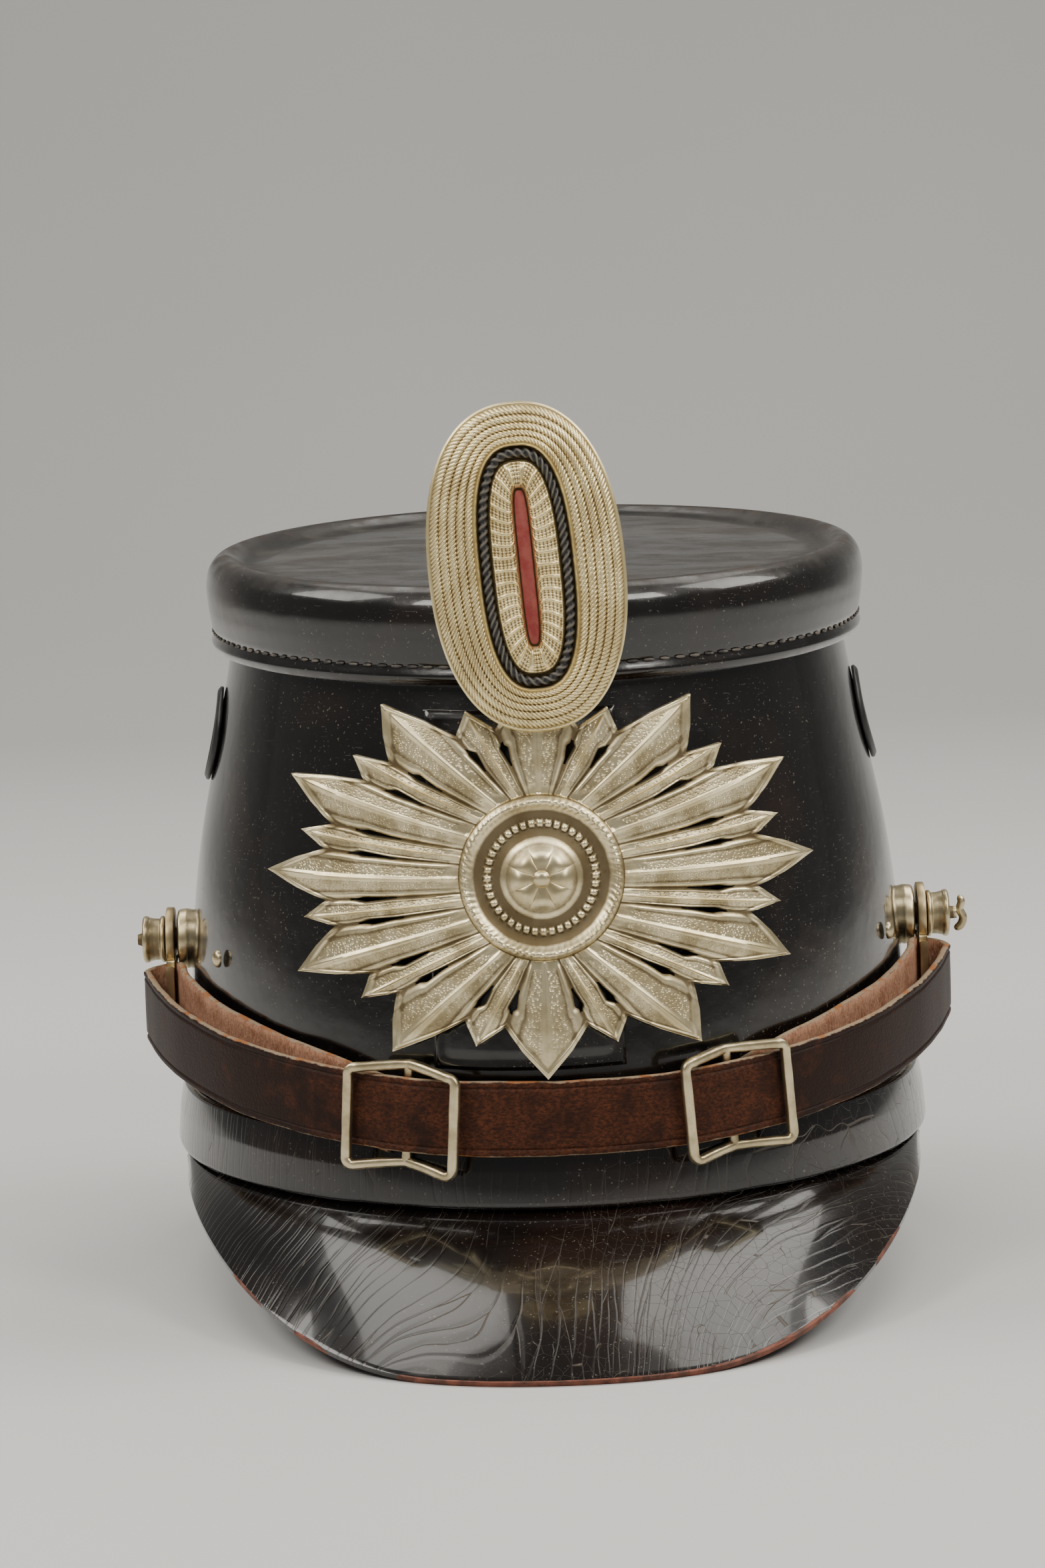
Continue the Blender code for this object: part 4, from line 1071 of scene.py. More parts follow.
    def build_stitches(self) -> None:
        """Lay short rounded stitches end to end in the groove round the top piece."""
        half_width, half_length = self.groove, self.groove + self.extra_length
        fine = np.linspace(0.0, 2 * math.pi, 2001)
        line = np.stack([half_width * np.sin(fine), -half_length * np.cos(fine)], -1)
        length = distances(line)
        count = round(length[-1] / self.stitch_pitch)
        centres = np.interp((np.arange(count) + 0.5) * length[-1] / count, length, fine)
        random = np.random.default_rng(11)
        share = np.sin(np.linspace(-1.0, 1.0, 7) * 1.25) / math.sin(1.25)
        section, upright = circle(around(8)), np.array([0.0, 0.0, 1.0])
        body = Body("top_stitches")
        for angle in centres:
            out = unit(np.array([math.sin(angle) / half_width, -math.cos(angle) / half_length, 0.0]))
            beside = np.array([-out[1], out[0], 0.0])
            long = self.stitch_length * random.uniform(0.42, 0.54)
            radius = self.stitch_radius * np.sqrt(1.0 - 0.9 * share ** 2) * random.uniform(0.85, 1.1)
            x, y = half_width * math.sin(angle), -half_length * math.cos(angle)
            middle = np.array([x, y, self.stitch_height + y * TOP_TILT]) + HAT_SHIFT - out * 0.00012
            lean = random.normal(0.0, 0.05)
            along = beside * math.cos(lean) + upright * math.sin(lean)
            ring = section @ np.stack([out, upright])
            body.tube(middle + along * (share * long)[:, None, None] + radius[:, None, None] * ring)
        body.make(self.finishes.thread)

    def build(self) -> None:
        """Build every part of the crown."""
        self.build_wall()
        self.build_cap()
        self.build_stitches()


# ---- the band and the visors
@dataclass
class Band:
    """The band round the foot of the crown, with a chipped lower edge.

    The rows of its section are an offset from the crown and a height.
    """

    finishes: Finishes
    columns: int = 432
    section: Table = (
        (0.0004, 0.0460), (0.0020, 0.0455), (0.0031, 0.0390), (0.0038, 0.0312), (0.0035, 0.0302),
        (0.0023, 0.0302), (0.0021, 0.0372), (0.0004, 0.0390),
    )
    rounding: float = 0.0005

    def build(self) -> None:
        """Carry the rounded section round the crown; the lower edge wanders a little in height."""
        section = rounded_loop(self.section, self.rounding, 4)
        angle = around(self.columns)[:, None]
        low = step(section[:, 1], 0.0345, 0.0310)
        wander = ripple(angle, ((7, 0.00010), (19, 0.00008), (43, 0.00006)), 21)
        swell = ripple(angle, ((4, 0.00006), (11, 0.00005)), 22) * (section[:, 0] > 0.0015)
        height = section[:, 1] + low * np.maximum(wander, 0.0)
        grid = round_crown(angle, height, section[:, 0] + swell)
        body = Body("foot_band")
        body.ring(grid)
        body.make(self.finishes.patent, "base_band")


@dataclass
class Visor:
    """One visor: a flange up the crown under the band, then a sloping sheet out to its rounded edge."""

    finishes: Finishes
    node: str
    facing: int
    end_angle: float
    edge_half_width: float
    edge_reach: float
    edge_centre: float
    edge_power: float
    edge_end_angle: float
    flat_share: float
    rise_power: float
    crown: float
    stations: int = 201
    end_height: float = 0.0250
    thickness: float = 0.0024
    flange_top: float = 0.0366
    flange_in: float = 0.0005
    flange_out: float = 0.0016
    root_out: float = 0.0026
    root_top: float = 0.0292
    root_under: float = 0.0026
    lift: float = 0.55
    land: float = 0.0018
    edge_round: float = 0.0004
    bare_reach: Row = (0.0009, 0.0017, 0.0007)

    def root(self, angle: Array, offset: float, height: float) -> Array:
        """Points beside the crown, in front of it or behind it."""
        points = round_crown(angle, np.full(angle.shape, height), offset) - HAT_SHIFT
        return points * np.array([1.0, -self.facing, 1.0]) + HAT_SHIFT

    def build(self) -> None:
        """Work out the section at every station at once and join them.

        The edge is a superellipse in plan; its height is zero over the middle share of the width and
        rises as a power of the distance beyond it. The upper side swells by sin(pi t) between root and
        edge, and the edge is a quadratic Bezier over its thickness.
        """
        share = np.linspace(-1.0, 1.0, self.stations)
        root_angle = math.radians(self.end_angle) * share
        edge_angle = math.radians(self.edge_end_angle) * share
        power = 2 / self.edge_power
        edge_x = np.sign(share) * self.edge_half_width * np.abs(np.sin(edge_angle)) ** power
        edge_y = self.facing * (self.edge_centre + self.edge_reach * np.cos(edge_angle) ** power)
        beyond = np.abs(edge_x) / self.edge_half_width - self.flat_share
        beyond = np.maximum(0.0, beyond / (1 - self.flat_share))
        edge = np.stack([edge_x, edge_y, self.end_height * beyond ** self.rise_power], -1) + HAT_SHIFT
        start = self.root(root_angle, self.root_out, self.root_top)
        run = edge - start
        length = np.linalg.norm(run, axis=1, keepdims=True)
        along = run / length
        level = unit(along * (1.0, 1.0, 0.0))
        flatness = np.linalg.norm(along[:, :2], axis=1, keepdims=True)
        above = np.concatenate([-along[:, 2:] * level[:, :2], flatness], 1)
        thick = np.minimum(self.thickness, 0.5 * length)
        swell = self.crown * np.minimum(1.0, length / 0.03)
        land = np.minimum(self.land, 0.3 * length)
        rows, bare = [], []
        base, right, left = self.bare_reach
        reach = base + right * hump(share, 0.45, 0.27) + left * hump(share, -0.42, 0.16)

        def add(points: Array, distance: Array) -> None:
            """Add one row of the section and its distance from the edge."""
            rows.append(points)
            bare.append(np.clip(1.0 - distance / reach, 0.0, 1.0))

        def upper(t: float) -> Array:
            """The upper side, at a share of the way from the root to the edge."""
            return start + run * t + above * (thick * t * self.lift + swell * math.sin(math.pi * t))

        far, on_edge = np.ones(share.shape), np.zeros(share.shape)
        for height in (self.flange_top, self.flange_top - 0.003, self.root_top + 0.0010):
            add(self.root(root_angle, self.flange_out, height), far)
        fillet = self.root(root_angle, self.flange_out, self.root_top + 0.0003)
        for t in (0.25, 0.5, 0.75):
            add(bezier(fillet, start, start + run * 0.03, t), far)
        last = edge + above * thick * 0.62 - level * self.edge_round
        for t in np.concatenate([np.linspace(0.03, 0.94, 34), [0.965, 0.985]]):
            add(upper(t), (length * (1 - t)).ravel())
        middle = edge + np.array([0.0, 0.0, 1.0]) * thick * 0.35 + level * 0.0002
        under = edge - level * self.edge_round
        for t in np.linspace(0.0, 1.0, 7):
            add(bezier(last, middle, under, t), on_edge)
        add(edge - level * (self.edge_round + land), on_edge)
        for t in np.linspace(0.88, 0.06, 10):
            add(upper(t) - above * thick, (length * (1 - t)).ravel() * 0.5)
        add(self.root(root_angle, self.flange_in + 0.0002, self.root_top - self.root_under), far)
        add(self.root(root_angle, self.flange_in, self.root_top - 0.0006), far)
        add(self.root(root_angle, self.flange_in, self.flange_top), far)
        body = Body(f"{self.node}_patent")
        body.tube(np.stack(rows, 1), edge=np.stack(bare, 1))
        body.make(self.finishes.patent, self.node)


def front_visor(finishes: Finishes) -> Visor:
    """The front visor."""
    return Visor(finishes, "front_visor", facing=-1, end_angle=78.0, edge_half_width=0.0901,
                 edge_reach=0.1440, edge_centre=0.0080, edge_power=2.2, edge_end_angle=85.0,
                 flat_share=0.30, rise_power=2.2, crown=0.0012)


def rear_visor(finishes: Finishes) -> Visor:
    """The rear visor, which the photograph hides: plain and a little shorter."""
    return Visor(finishes, "rear_visor", facing=1, end_angle=62.0, edge_half_width=0.0870,
                 edge_reach=0.1330, edge_centre=0.0, edge_power=2.3, edge_end_angle=70.2,
                 flat_share=0.35, rise_power=1.9, crown=0.0006, stations=151)


# ---- the front plate
@dataclass
class FrontPlate:
    """An oval sunburst of long and short rays round a stepped disc, with a slot in each valley.

    The slot is where it starts and ends along its valley, and its half width. On a ray, dome, rib, rim
    and border are shares of its ridge. On the disc, petal is a middle radius, spread and height; bead its
    circle's radius, its half sizes along and across, and its height; twist a middle radius, spread,
    height and lean. The stud is its foot's height, its own height and radius, and the posts are their
    distance from the middle and their radius.
    """

    finishes: Finishes
    centre: Row = (-0.0010, 0.1060)
    half_width: float = 0.0720
    half_height: float = 0.0455
    bend_radius: float = 0.0800
    front: float = 0.1035
    lean: float = math.tan(math.radians(6.4))
    disc_radius: float = 0.0190
    back: float = -0.0003
    pairs: int = 12
    reaches: Row = (0.75, 0.87, 1.00, 0.87, 0.75, 0.86)
    across_ray: Row = (1.0, 0.95, 0.90, 0.83, 0.75, 0.66, 0.52, 0.36, 0.22, 0.12, 0.05)
    valley: float = 0.0007
    ridge: float = 0.0016
    dome: float = 0.58
    rib: float = 0.42
    rim: float = 0.30
    border: float = 0.36
    petals: int = 4
    petal: Row = (0.0048, 0.0020, 0.00045)
    beads: int = 40
    bead: Row = (0.0123, 0.00088, 0.00095, 0.00085)
    strands: int = 72
    twist: Row = (0.0172, 0.0010, 0.00032, 2600.0)
    stud: Row = (0.0036, 0.0014, 0.0021)
    slot: Tuple[float, float, float] = (0.42, 0.79, 0.0013)
    disc: Table = (
        (0.0005, 0.0040), (0.0030, 0.0038), (0.0060, 0.0032), (0.0078, 0.0020), (0.0095, 0.0012),
        (0.0150, 0.0012), (0.0160, 0.0019), (0.0172, 0.0027), (0.0184, 0.0019), (0.0190, 0.0011),
    )
    posts: Tuple[float, float] = (0.0340, 0.0024)

    def bent(self, across: Values, up: Values, relief: Values) -> Array:
        """Bend the flat plate to a leaning cylinder, with the relief square to it."""
        turn, radius = across / self.bend_radius, self.bend_radius + relief
        depth = self.front - self.lean * up - self.bend_radius
        x = self.centre[0] + radius * np.sin(turn)
        return np.stack([x, -depth - radius * np.cos(turn), self.centre[1] + up], -1) + HAT_SHIFT

    def columns(self) -> Tuple[Array, Array, Array, Array]:
        """Lay out the columns, from valley to crest and on to the next valley, ray by ray.

        Returns:
            Each column's place in sixths of a pair of rays, its distance across its ray (0 on the
            crest, 1 in the valley), and the places of its nearer valley and of its crest.
        """
        crest, half = np.array([(6.0 * pair + middle, size) for pair in range(self.pairs)
                                for middle, size in ((2.0, 2.0), (5.0, 1.0))]).T[..., None]
        across = np.array((*self.across_ray, 0.0, *reversed(self.across_ray[1:])))
        side = np.where(np.arange(len(across)) < len(self.across_ray), -1.0, 1.0)
        columns = (crest + side * half * across, across, crest + side * half, crest)
        return tuple(values.ravel() for values in np.broadcast_arrays(*columns))

    def flat(self, sixths: Array, share: Array) -> Array:
        """Flat places on the rays, whose outline runs straight from each sixth to the next.

        Args:
            sixths: places round the plate.
            share: 0 on the disc's edge and 1 on the outline, one for each row.

        Returns:
            Rows of flat points.
        """
        count = 6 * self.pairs
        turns = 2 * math.pi * (np.arange(count + 1) - 2) / count
        reach = np.array(self.reaches)[np.arange(count + 1) % 6]
        tips = reach[:, None] * (self.half_width, self.half_height) * circle(turns)
        place = sixths % count
        low = np.minimum(np.floor(place).astype(int), count - 1)
        part = (place - low)[:, None]
        tip = tips[low] * (1 - part) + tips[low + 1] * part
        turn = 2 * math.pi * (place - 2) / count
        disc = self.disc_radius * circle(turn)
        return disc[None] * (1 - share[:, None, None]) + tip[None] * share[:, None, None]

    def rays(self) -> Tuple[Array, Array, Array, Array, Array]:
        """Work out the rays: flat places, relief, which cells are there, stippled ground and recesses.

        A ray is a dome (1 - w^2) with a midrib and a raised rim, each a Gaussian across it; all swell
        along the ray with sin(pi (0.12 + 0.76 share)). Beside a slot the columns move away from the
        valley so that the nearest one runs along the slot's side.
        """
        sixths, across, valleys, crests = self.columns()
        share = np.concatenate([np.linspace(0.0, 0.08, 5), np.linspace(0.11, 0.87, 29),
                                np.linspace(0.89, 1.0, 10)])
        places, valley = self.flat(sixths, share), self.flat(valleys, share)
        crest = self.flat(crests, share)
        start, end, half = self.slot
        along = np.clip((share - start) / (end - start), 0.0, 1.0)
        width = half * np.minimum(along / 0.65, (1 - along) / 0.35)[:, None]
        away = np.linalg.norm(places - valley, axis=-1)
        whole = np.linalg.norm(crest - valley, axis=-1)
        first = whole * (1 - self.across_ray[1])
        nearest = np.maximum(width, first)
        target = np.where(away > 0, nearest + (away - first) * (whole - nearest) / (whole - first), 0.0)
        places = valley + (places - valley) * (target / np.maximum(away, 1e-9))[..., None]
        short = np.abs(crests - valleys) < 1.5
        full = np.sin(math.pi * (0.12 + 0.76 * share))[:, None]
        w = across[None]
        height = np.where(short, 0.85, 1.0)[None]
        dome = self.dome * (1 - w ** 2)
        rim = self.rim * hump(w, 0.80, 0.085) * step(share, 0.03, 0.10)[:, None]
        border = self.border * hump(share, 0.955, 0.022)[:, None]
        rib = self.rib * hump(w, 0.0, 0.10)
        relief = self.valley + self.ridge * full * (height * (dome + rib) + rim) + self.ridge * 0.5 * border
        ground = (step(w, 0.14, 0.20) * (1 - step(w, 0.62, 0.70))
                  * (step(share, 0.06, 0.12) * (1 - step(share, 0.88, 0.92)))[:, None])
        recess = np.clip(0.85 * hump(w, 1.0, 0.14) + 0.42 * ground + 0.5 * hump(w, 0.66, 0.06)
                         + 0.5 * hump(share, 0.91, 0.02)[:, None], 0.0, 1.0)
        cell_w = np.minimum(across, np.roll(across, -1)) >= self.across_ray[1] - 0.001
        in_slot = (share[:-1] >= start) & (share[1:] <= end)
        keep = ~(in_slot[:, None] & cell_w[None])
        return places, relief, keep, ground, recess

    def centre_disc(self, turn: Array) -> Tuple[Array, Array, Array]:
        """Work out the disc: a petalled dome, a ring of beads in its channel and a twisted rim.

        A bead is the upper half of an ellipsoid, a petal |cos 4a|, and the rim's twist a cosine that
        leans with the radius.

        Args:
            turn: the columns' angles.

        Returns:
            Flat places, relief and recesses, one row for each radius.
        """
        radius = np.concatenate([np.linspace(0.0005, 0.0085, 12), np.linspace(0.0092, 0.0154, 13),
                                 np.linspace(0.0160, 0.0187, 8)])
        table = np.array(self.disc)
        relief = hermite(radius, table[:, 0], table[:, 1])[:, None]
        r, a = radius[:, None], turn[None]
        middle, spread, petal_height = self.petal
        petal = np.abs(np.cos(self.petals * a)) ** 0.6 * hump(r, middle, spread)
        circle_radius, half_along, half_across, bead_height = self.bead
        place = a / (2 * math.pi) * self.beads
        beside = (place - np.round(place)) * 2 * math.pi * circle_radius / self.beads
        bead = 1 - (beside / half_along) ** 2 - ((r - circle_radius) / half_across) ** 2
        bead = np.sqrt(np.maximum(0.0, bead))
        rope, spread, twist_height, lean = self.twist
        twist = hump(r, rope, spread) * (0.5 + 0.5 * np.cos(self.strands * a + (r - rope) * lean))
        relief = relief + petal_height * petal + bead_height * bead + twist_height * twist
        channel = step(r, 0.0088, 0.0096) * (1 - step(r, 0.0150, 0.0158))
        recess = np.clip(channel * (1 - 1.3 * bead) + 0.6 * hump(r, 0.0076, 0.0008)
                         + 0.5 * hump(r, rope, 0.0012) * (1 - twist)
                         + 0.9 * hump(r, self.disc_radius, 0.0006), 0.0, 1.0)
        return r[..., None] * circle(a), relief, recess

    def build(self) -> None:
        """Join disc and rays to one bent sheet and add the middle stud and the two posts behind."""
        places, relief, keep, ground, recess = self.rays()
        turn = 2 * math.pi * (self.columns()[0] - 2) / (6 * self.pairs)
        disc, disc_relief, disc_recess = self.centre_disc(turn)
        flat = np.concatenate([disc, places])
        heights = np.concatenate([disc_relief, relief])
        layers = {"recess": np.concatenate([disc_recess, recess]),
                  "ground": np.concatenate([np.zeros(disc_relief.shape), ground])}
        keep = np.concatenate([np.ones((len(disc), keep.shape[1]), dtype=bool), keep])
        front = self.bent(flat[..., 0], flat[..., 1], heights)
        back = self.bent(flat[..., 0], flat[..., 1], np.full(heights.shape, self.back))
        body = Body("front_sunburst")
        body.sheet(front, back, keep=keep, tube=True, **layers)
        rise, height, radius = self.stud
        stud = pointing(self.bent(0.0, 0.0, rise), (0.0, -1.0, -self.lean))
        bend = np.linspace(0.0, math.pi / 2 * 0.94, 8)
        lathe(body, np.stack([height * np.sin(bend) + 0.0002, radius * np.cos(bend)], -1), stud, 40)
        for sign in SIDES.values():
            angle = sign * self.posts[0] / self.bend_radius
            seat = self.bent(sign * self.posts[0], 0.0, 0.0)
            out = np.array((math.sin(angle), -math.cos(angle), 0.0))
            length = self.post_length(seat - HAT_SHIFT, out)
            lathe(body, np.array([(-length, self.posts[1]), (0.0, self.posts[1])]), pointing(seat, out), 24)
        body.make(self.finishes.plate, "front_plate", sharp=55.0)

    def post_length(self, seat: Array, out: Array) -> float:
        """How far a post runs back before it would meet the crown, less a small gap."""
        half_width, half_length = crown_oval(seat[2] + self.posts[1])
        reach = np.arange(0.0, 0.03, 0.0001)
        points = seat - out * reach[:, None]
        inside = np.hypot(points[:, 0] / half_width, points[:, 1] / half_length) < 1 + 0.0011 / half_width
        return float(reach[np.argmax(inside)])


# ---- the cockade
@dataclass
class Cockade:
    """The oval cockade: roped dish, twisted black ring, beaded cushion, coloured slot and tongue.

    A row of an oval is its half width, half height, relief and power; the tongue's are the distance in
    front of the axis and the height.
    """

    finishes: Finishes
    centre: Row = (-0.0020, -0.1010, 0.1763)
    back_tilt: float = math.radians(3.2)
    lean: float = math.radians(-4.2)
    dish: Table = (
        (0.0223, 0.0373, 0.0008, 2.3), (0.0196, 0.0346, 0.0023, 2.4),
        (0.0169, 0.0322, 0.0033, 2.45), (0.0142, 0.0301, 0.0040, 2.5),
        (0.0114, 0.0281, 0.0045, 2.7), (0.0106, 0.0274, 0.0043, 2.7),
    )
    dish_floor: Table = ((0.0105, 0.0273, 0.0036, 2.7), (0.0104, 0.0272, 0.0014, 2.7),
                                   (0.0050, 0.0150, 0.0014, 2.5))
    dish_back: Table = ((0.0060, 0.0160, 0.0004, 2.5), (0.0112, 0.0280, 0.0004, 2.7),
                                  (0.0118, 0.0286, 0.0034, 2.7), (0.0205, 0.0354, 0.0009, 2.35),
                                  (0.0220, 0.0370, 0.0000, 2.3))
    ropes: int = 5
    rope_span: Tuple[float, float] = (0.075, 0.930)
    rope_across: Row = (-1.0, -0.86, -0.62, -0.32, 0.0, 0.32, 0.62, 0.86)
    inner_rows: Row = (0.0, 0.012, 0.03, 0.05, 0.066)
    outer_rows: Row = (0.932, 0.945, 0.960, 0.975, 1.0)
    strand: float = 0.00100
    rope_height: float = 0.00078
    rope_sink: float = 0.00035
    ring_oval: Row = (0.0091, 0.0258, 0.0028, 2.7)
    ring_radius: float = 0.0011
    ring_strand: float = 0.00195
    cushion: Table = (
        (0.0078, 0.0242, 0.0026, 2.9), (0.0076, 0.0240, 0.0034, 2.9), (0.0068, 0.0233, 0.0043, 2.9),
        (0.0046, 0.0212, 0.0049, 2.9), (0.0026, 0.0190, 0.0047, 3.3), (0.0019, 0.0181, 0.0041, 3.8),
    )
    cushion_foot: Table = ((0.0076, 0.0240, 0.0017, 2.9),)
    cushion_slot: Table = ((0.0017, 0.0178, 0.0036, 4.0), (0.0017, 0.0178, 0.0030, 4.0))
    groups: int = 34
    cells: int = 4
    cell_columns: int = 6
    bead_rows: int = 7
    cushion_relief: float = 0.00036
    inlay: Table = ((0.0015, 0.0174, 0.0033, 4.0), (0.00145, 0.01735, 0.0038, 4.0),
                              (0.0012, 0.0170, 0.0040, 4.0))
    tongue: Table = (
        (0.0998, 0.1800), (0.0991, 0.1650), (0.0946, 0.1520), (0.0932, 0.1480), (0.0894, 0.1445),
        (0.0905, 0.1400), (0.0940, 0.1250), (0.0967, 0.1120),
    )
    tongue_halves: Tuple[float, float] = (0.0045, 0.00045)
    tongue_side: float = -0.0040

    def world(self, x: Values, relief: Values, z: Values) -> Array:
        """Places in the world from places on the cockade's own face."""
        place = (Matrix.Translation(self.centre) @ Matrix.Rotation(-self.back_tilt, 4, "X")
                 @ Matrix.Rotation(self.lean, 4, "Y"))
        return moved(np.stack(np.broadcast_arrays(x, -relief, z), -1), place) + HAT_SHIFT

    def oval(self, row: Array, angle: Array) -> Tuple[Array, Array]:
        """Places round superellipses |x/a|^p + |z/b|^p = 1, by x = a |cos|^(2/p) and z = b |sin|^(2/p)."""
        across, up = np.cos(angle), np.sin(angle)
        power = 2 / row[..., 3:4]
        x = np.sign(across) * row[..., 0:1] * np.abs(across) ** power
        return x, np.sign(up) * row[..., 1:2] * np.abs(up) ** power

    def read(self, table: Table, q: Values) -> Array:
        """Rows of a table of ovals, at shares of the way from its first oval to its last."""
        rows = np.array(table)
        places = distances(rows[:, :1])
        return hermite(q, places / places[-1], rows)

    def loops(self, table: Table, angle: Array) -> Array:
        """World points round each oval of a table."""
        rows = np.array(table)
        x, z = self.oval(rows, angle[None])
        return self.world(x, rows[:, 2:3], z)

    def even_angles(self, row: Row, count: int) -> Tuple[Array, float]:
        """Angles that lie evenly round one oval.

        Args:
            row: half width, half height, relief and power.
            count: how many angles.

        Returns:
            The angles and the oval's length.
        """
        fine = np.linspace(0.0, 2 * math.pi, 20001)
        length = distances(np.stack(self.oval(np.array(row), fine), -1))
        return np.interp(np.arange(count) * length[-1] / count, length, fine), float(length[-1])

    def build_dish(self, columns: int = 1320) -> None:
        """Build the dish: plain rim, five ropes of leaning strands, a raised line, channel and back.

        A rope is sqrt(1 - c^2) across itself, notched by |sin(phase / 2)|^0.7, whose phase turns once a
        strand along the oval and leans by the same distance across the rope.
        """
        first, last = self.rope_span
        width = (last - first) / self.ropes
        c, plain_rows = np.array(self.rope_across), len(self.inner_rows)
        on = first + width * (np.arange(self.ropes)[:, None] + 0.5 + 0.5 * c)
        q = np.concatenate([self.inner_rows, on.ravel(), self.outer_rows])
        ropes = np.pad(np.repeat(np.arange(self.ropes), len(c)), plain_rows, constant_values=-1)
        across = np.pad(np.tile(c, self.ropes), plain_rows)[:, None]
        angle, _ = self.even_angles(self.dish[2], columns)
        rows = self.read(self.dish, q)
        x, z = self.oval(rows, angle[None])
        share = np.arange(columns)[None] / columns
        half = width * (self.dish[0][0] - self.dish[-1][0]) / 2
        lengths = np.array([self.even_angles(self.read(self.dish, first + width * (k + 0.5)), 8)[1]
                            for k in range(self.ropes)])
        counts = np.append(np.round(lengths / self.strand), 0.0)[ropes][:, None]
        phase = 2 * math.pi * (counts * share + half / self.strand * across)
        strand = np.abs(np.sin(phase / 2)) ** 0.7
        on_rope = (ropes >= 0).astype(float)[:, None]
        round_top = np.sqrt(np.maximum(0.0, 1 - (0.97 * across) ** 2))
        rope = on_rope * round_top * (0.40 + 0.60 * strand)
        plain = (0.00030 * hump(q, 0.035, 0.020) + 0.00035 * hump(q, 0.965, 0.014))[:, None]
        relief = rows[:, 2:3] - self.rope_sink + self.rope_height * rope + plain
        # Painted shade and patina: the rope's sides and the grooves between its strands are marked dark.
        groove_patina_and_shade = on_rope * (0.50 * (1.0 - round_top) + 0.95 * (1.0 - strand))
        seams = np.isin(q, (self.inner_rows[-1], self.outer_rows[0]))[:, None]
        recess = np.clip(groove_patina_and_shade + 0.5 * seams, 0.0, 1.0)
        floor, back = self.loops(self.dish_floor, angle), self.loops(self.dish_back, angle)
        grid = np.concatenate([floor[::-1], self.world(x, relief, z)[::-1], back[::-1]])
        hollow = np.concatenate([np.full(floor.shape[:2], 0.9), recess[::-1], np.full(back.shape[:2], 0.5)])
        body = Body("cockade_dish")
        body.tube(grid, self.world(0.0, 0.0014, 0.0), self.world(0.0, 0.0004, 0.0), recess=hollow)
        body.make(self.finishes.cockade, "cockade_shell", sharp=70.0)

    def build_ring(self, columns: int = 660, sides: int = 18) -> None:
        """Build the twisted black ring: a bar whose three strands wind round it."""
        angle, length = self.even_angles(self.ring_oval, columns)
        turn = around(sides)[:, None]
        share = np.arange(columns)[None] / columns
        strands = round(length / self.ring_strand)
        groove = np.abs(np.sin(math.pi * strands * share + 1.5 * turn)) ** 0.6
        radius = self.ring_radius * (0.68 + 0.32 * groove)
        out, up = radius * np.cos(turn), radius * np.sin(turn)
        half_width, half_height, relief, power = self.ring_oval
        rows = np.stack(np.broadcast_arrays(half_width + out, half_height + out, relief + up, power), -1)
        x, z = (part[..., 0] for part in self.oval(rows, angle[None, :, None]))
        body = Body("cockade_twisted_ring")
        # The strand tops are lifted towards bare metal: partly wear, partly a painted glint.
        body.ring(self.world(x, rows[..., 2], z), wear=groove ** 3)
        body.make(self.finishes.black_metal, "cockade_rope_ring", sharp=75.0)

    def build_cushion(self, rows_across: int = 46) -> None:
        """Build the cushion: groups of one smooth cross bar and three rows of beads, round the slot."""
        columns = self.groups * self.cells * self.cell_columns
        angle, _ = self.even_angles(self.cushion[3], columns)
        q = np.linspace(0.0, 1.0, rows_across)
        rows = self.read(self.cushion, q)
        x, z = self.oval(rows, angle[None])
        along = np.arange(columns)[None] / self.cell_columns + 0.5 / self.cell_columns
        cell = np.floor(along).astype(int) % self.cells
        a = 2 * (along - np.floor(along)) - 1
        lane = q[:, None] * self.bead_rows * 0.96
        b = 2 * (lane - np.floor(lane)) - 1
        bead = np.sqrt(np.maximum(0.0, 1 - a ** 2 - b ** 2))
        from_bar = np.abs((along + 1.5) % self.cells - self.cells / 2) / 0.74
        bar = 1.6 * np.sqrt(np.maximum(0.0, 1 - from_bar ** 2))
        inside = step(q, 0.02, 0.08)[:, None] * (1 - step(q, 0.93, 0.99)[:, None])
        pattern = np.maximum(bar, np.where(cell == 0, 0.0, 0.62 * bead)) * inside
        relief = rows[:, 2:3] + self.cushion_relief * pattern
        recess = np.clip((1 - 1.3 * pattern) * inside * 0.9, 0.0, 1.0)
        grid = np.concatenate([self.loops(self.cushion_foot, angle), self.world(x, relief, z),
                               self.loops(self.cushion_slot, angle)])
        ends = np.full((1, columns), 0.8)
        body = Body("cockade_cushion")
        body.tube(grid, self.world(0.0, 0.0017, 0.0), self.world(0.0, 0.0030, 0.0),
                  recess=np.concatenate([ends, recess, ends, ends]))
        body.make(self.finishes.cockade, "cockade_centre", sharp=75.0)

    def build_inlay(self) -> None:
        """Build the coloured strip at the bottom of the slot."""
        angle, _ = self.even_angles(self.inlay[0], 160)
        _, z = self.oval(np.array(self.inlay), angle[None])
        body = Body("cockade_colour_strip")
        poles = [self.world(0.0, relief, 0.0) for relief in (0.0033, 0.0041)]
        body.tube(self.loops(self.inlay, angle), *poles, wear=0.6 * step(np.abs(z), 0.0150, 0.0195))
        body.make(self.finishes.red, "cockade_inlay")

    def build_tongue(self) -> None:
        """Build the bent strip behind the dish that goes down into the pocket."""
        line = smooth_curve(self.tongue, 70)
        half_thickness = self.tongue_halves[1]
        path = [np.full(len(line), self.tongue_side), -line[:, 0] - half_thickness, line[:, 1]]
        path = np.stack(path, -1) + HAT_SHIFT
        corners = np.array([(-1.0, -1.0), (1.0, -1.0), (1.0, 1.0), (-1.0, 1.0)]) * self.tongue_halves
        section = rounded_loop(corners, 0.0004, 3)
        body = Body("cockade_bent_tongue")
        body.tube(carry(path, section, np.array([0.0, 1.0, 0.0])), recess=0.25)
        body.make(self.finishes.nickel, "cockade_tongue")

    def build(self) -> None:
        """Build every part of the cockade."""
        self.build_dish()
        self.build_ring()
        self.build_cushion()
        self.build_inlay()
        self.build_tongue()


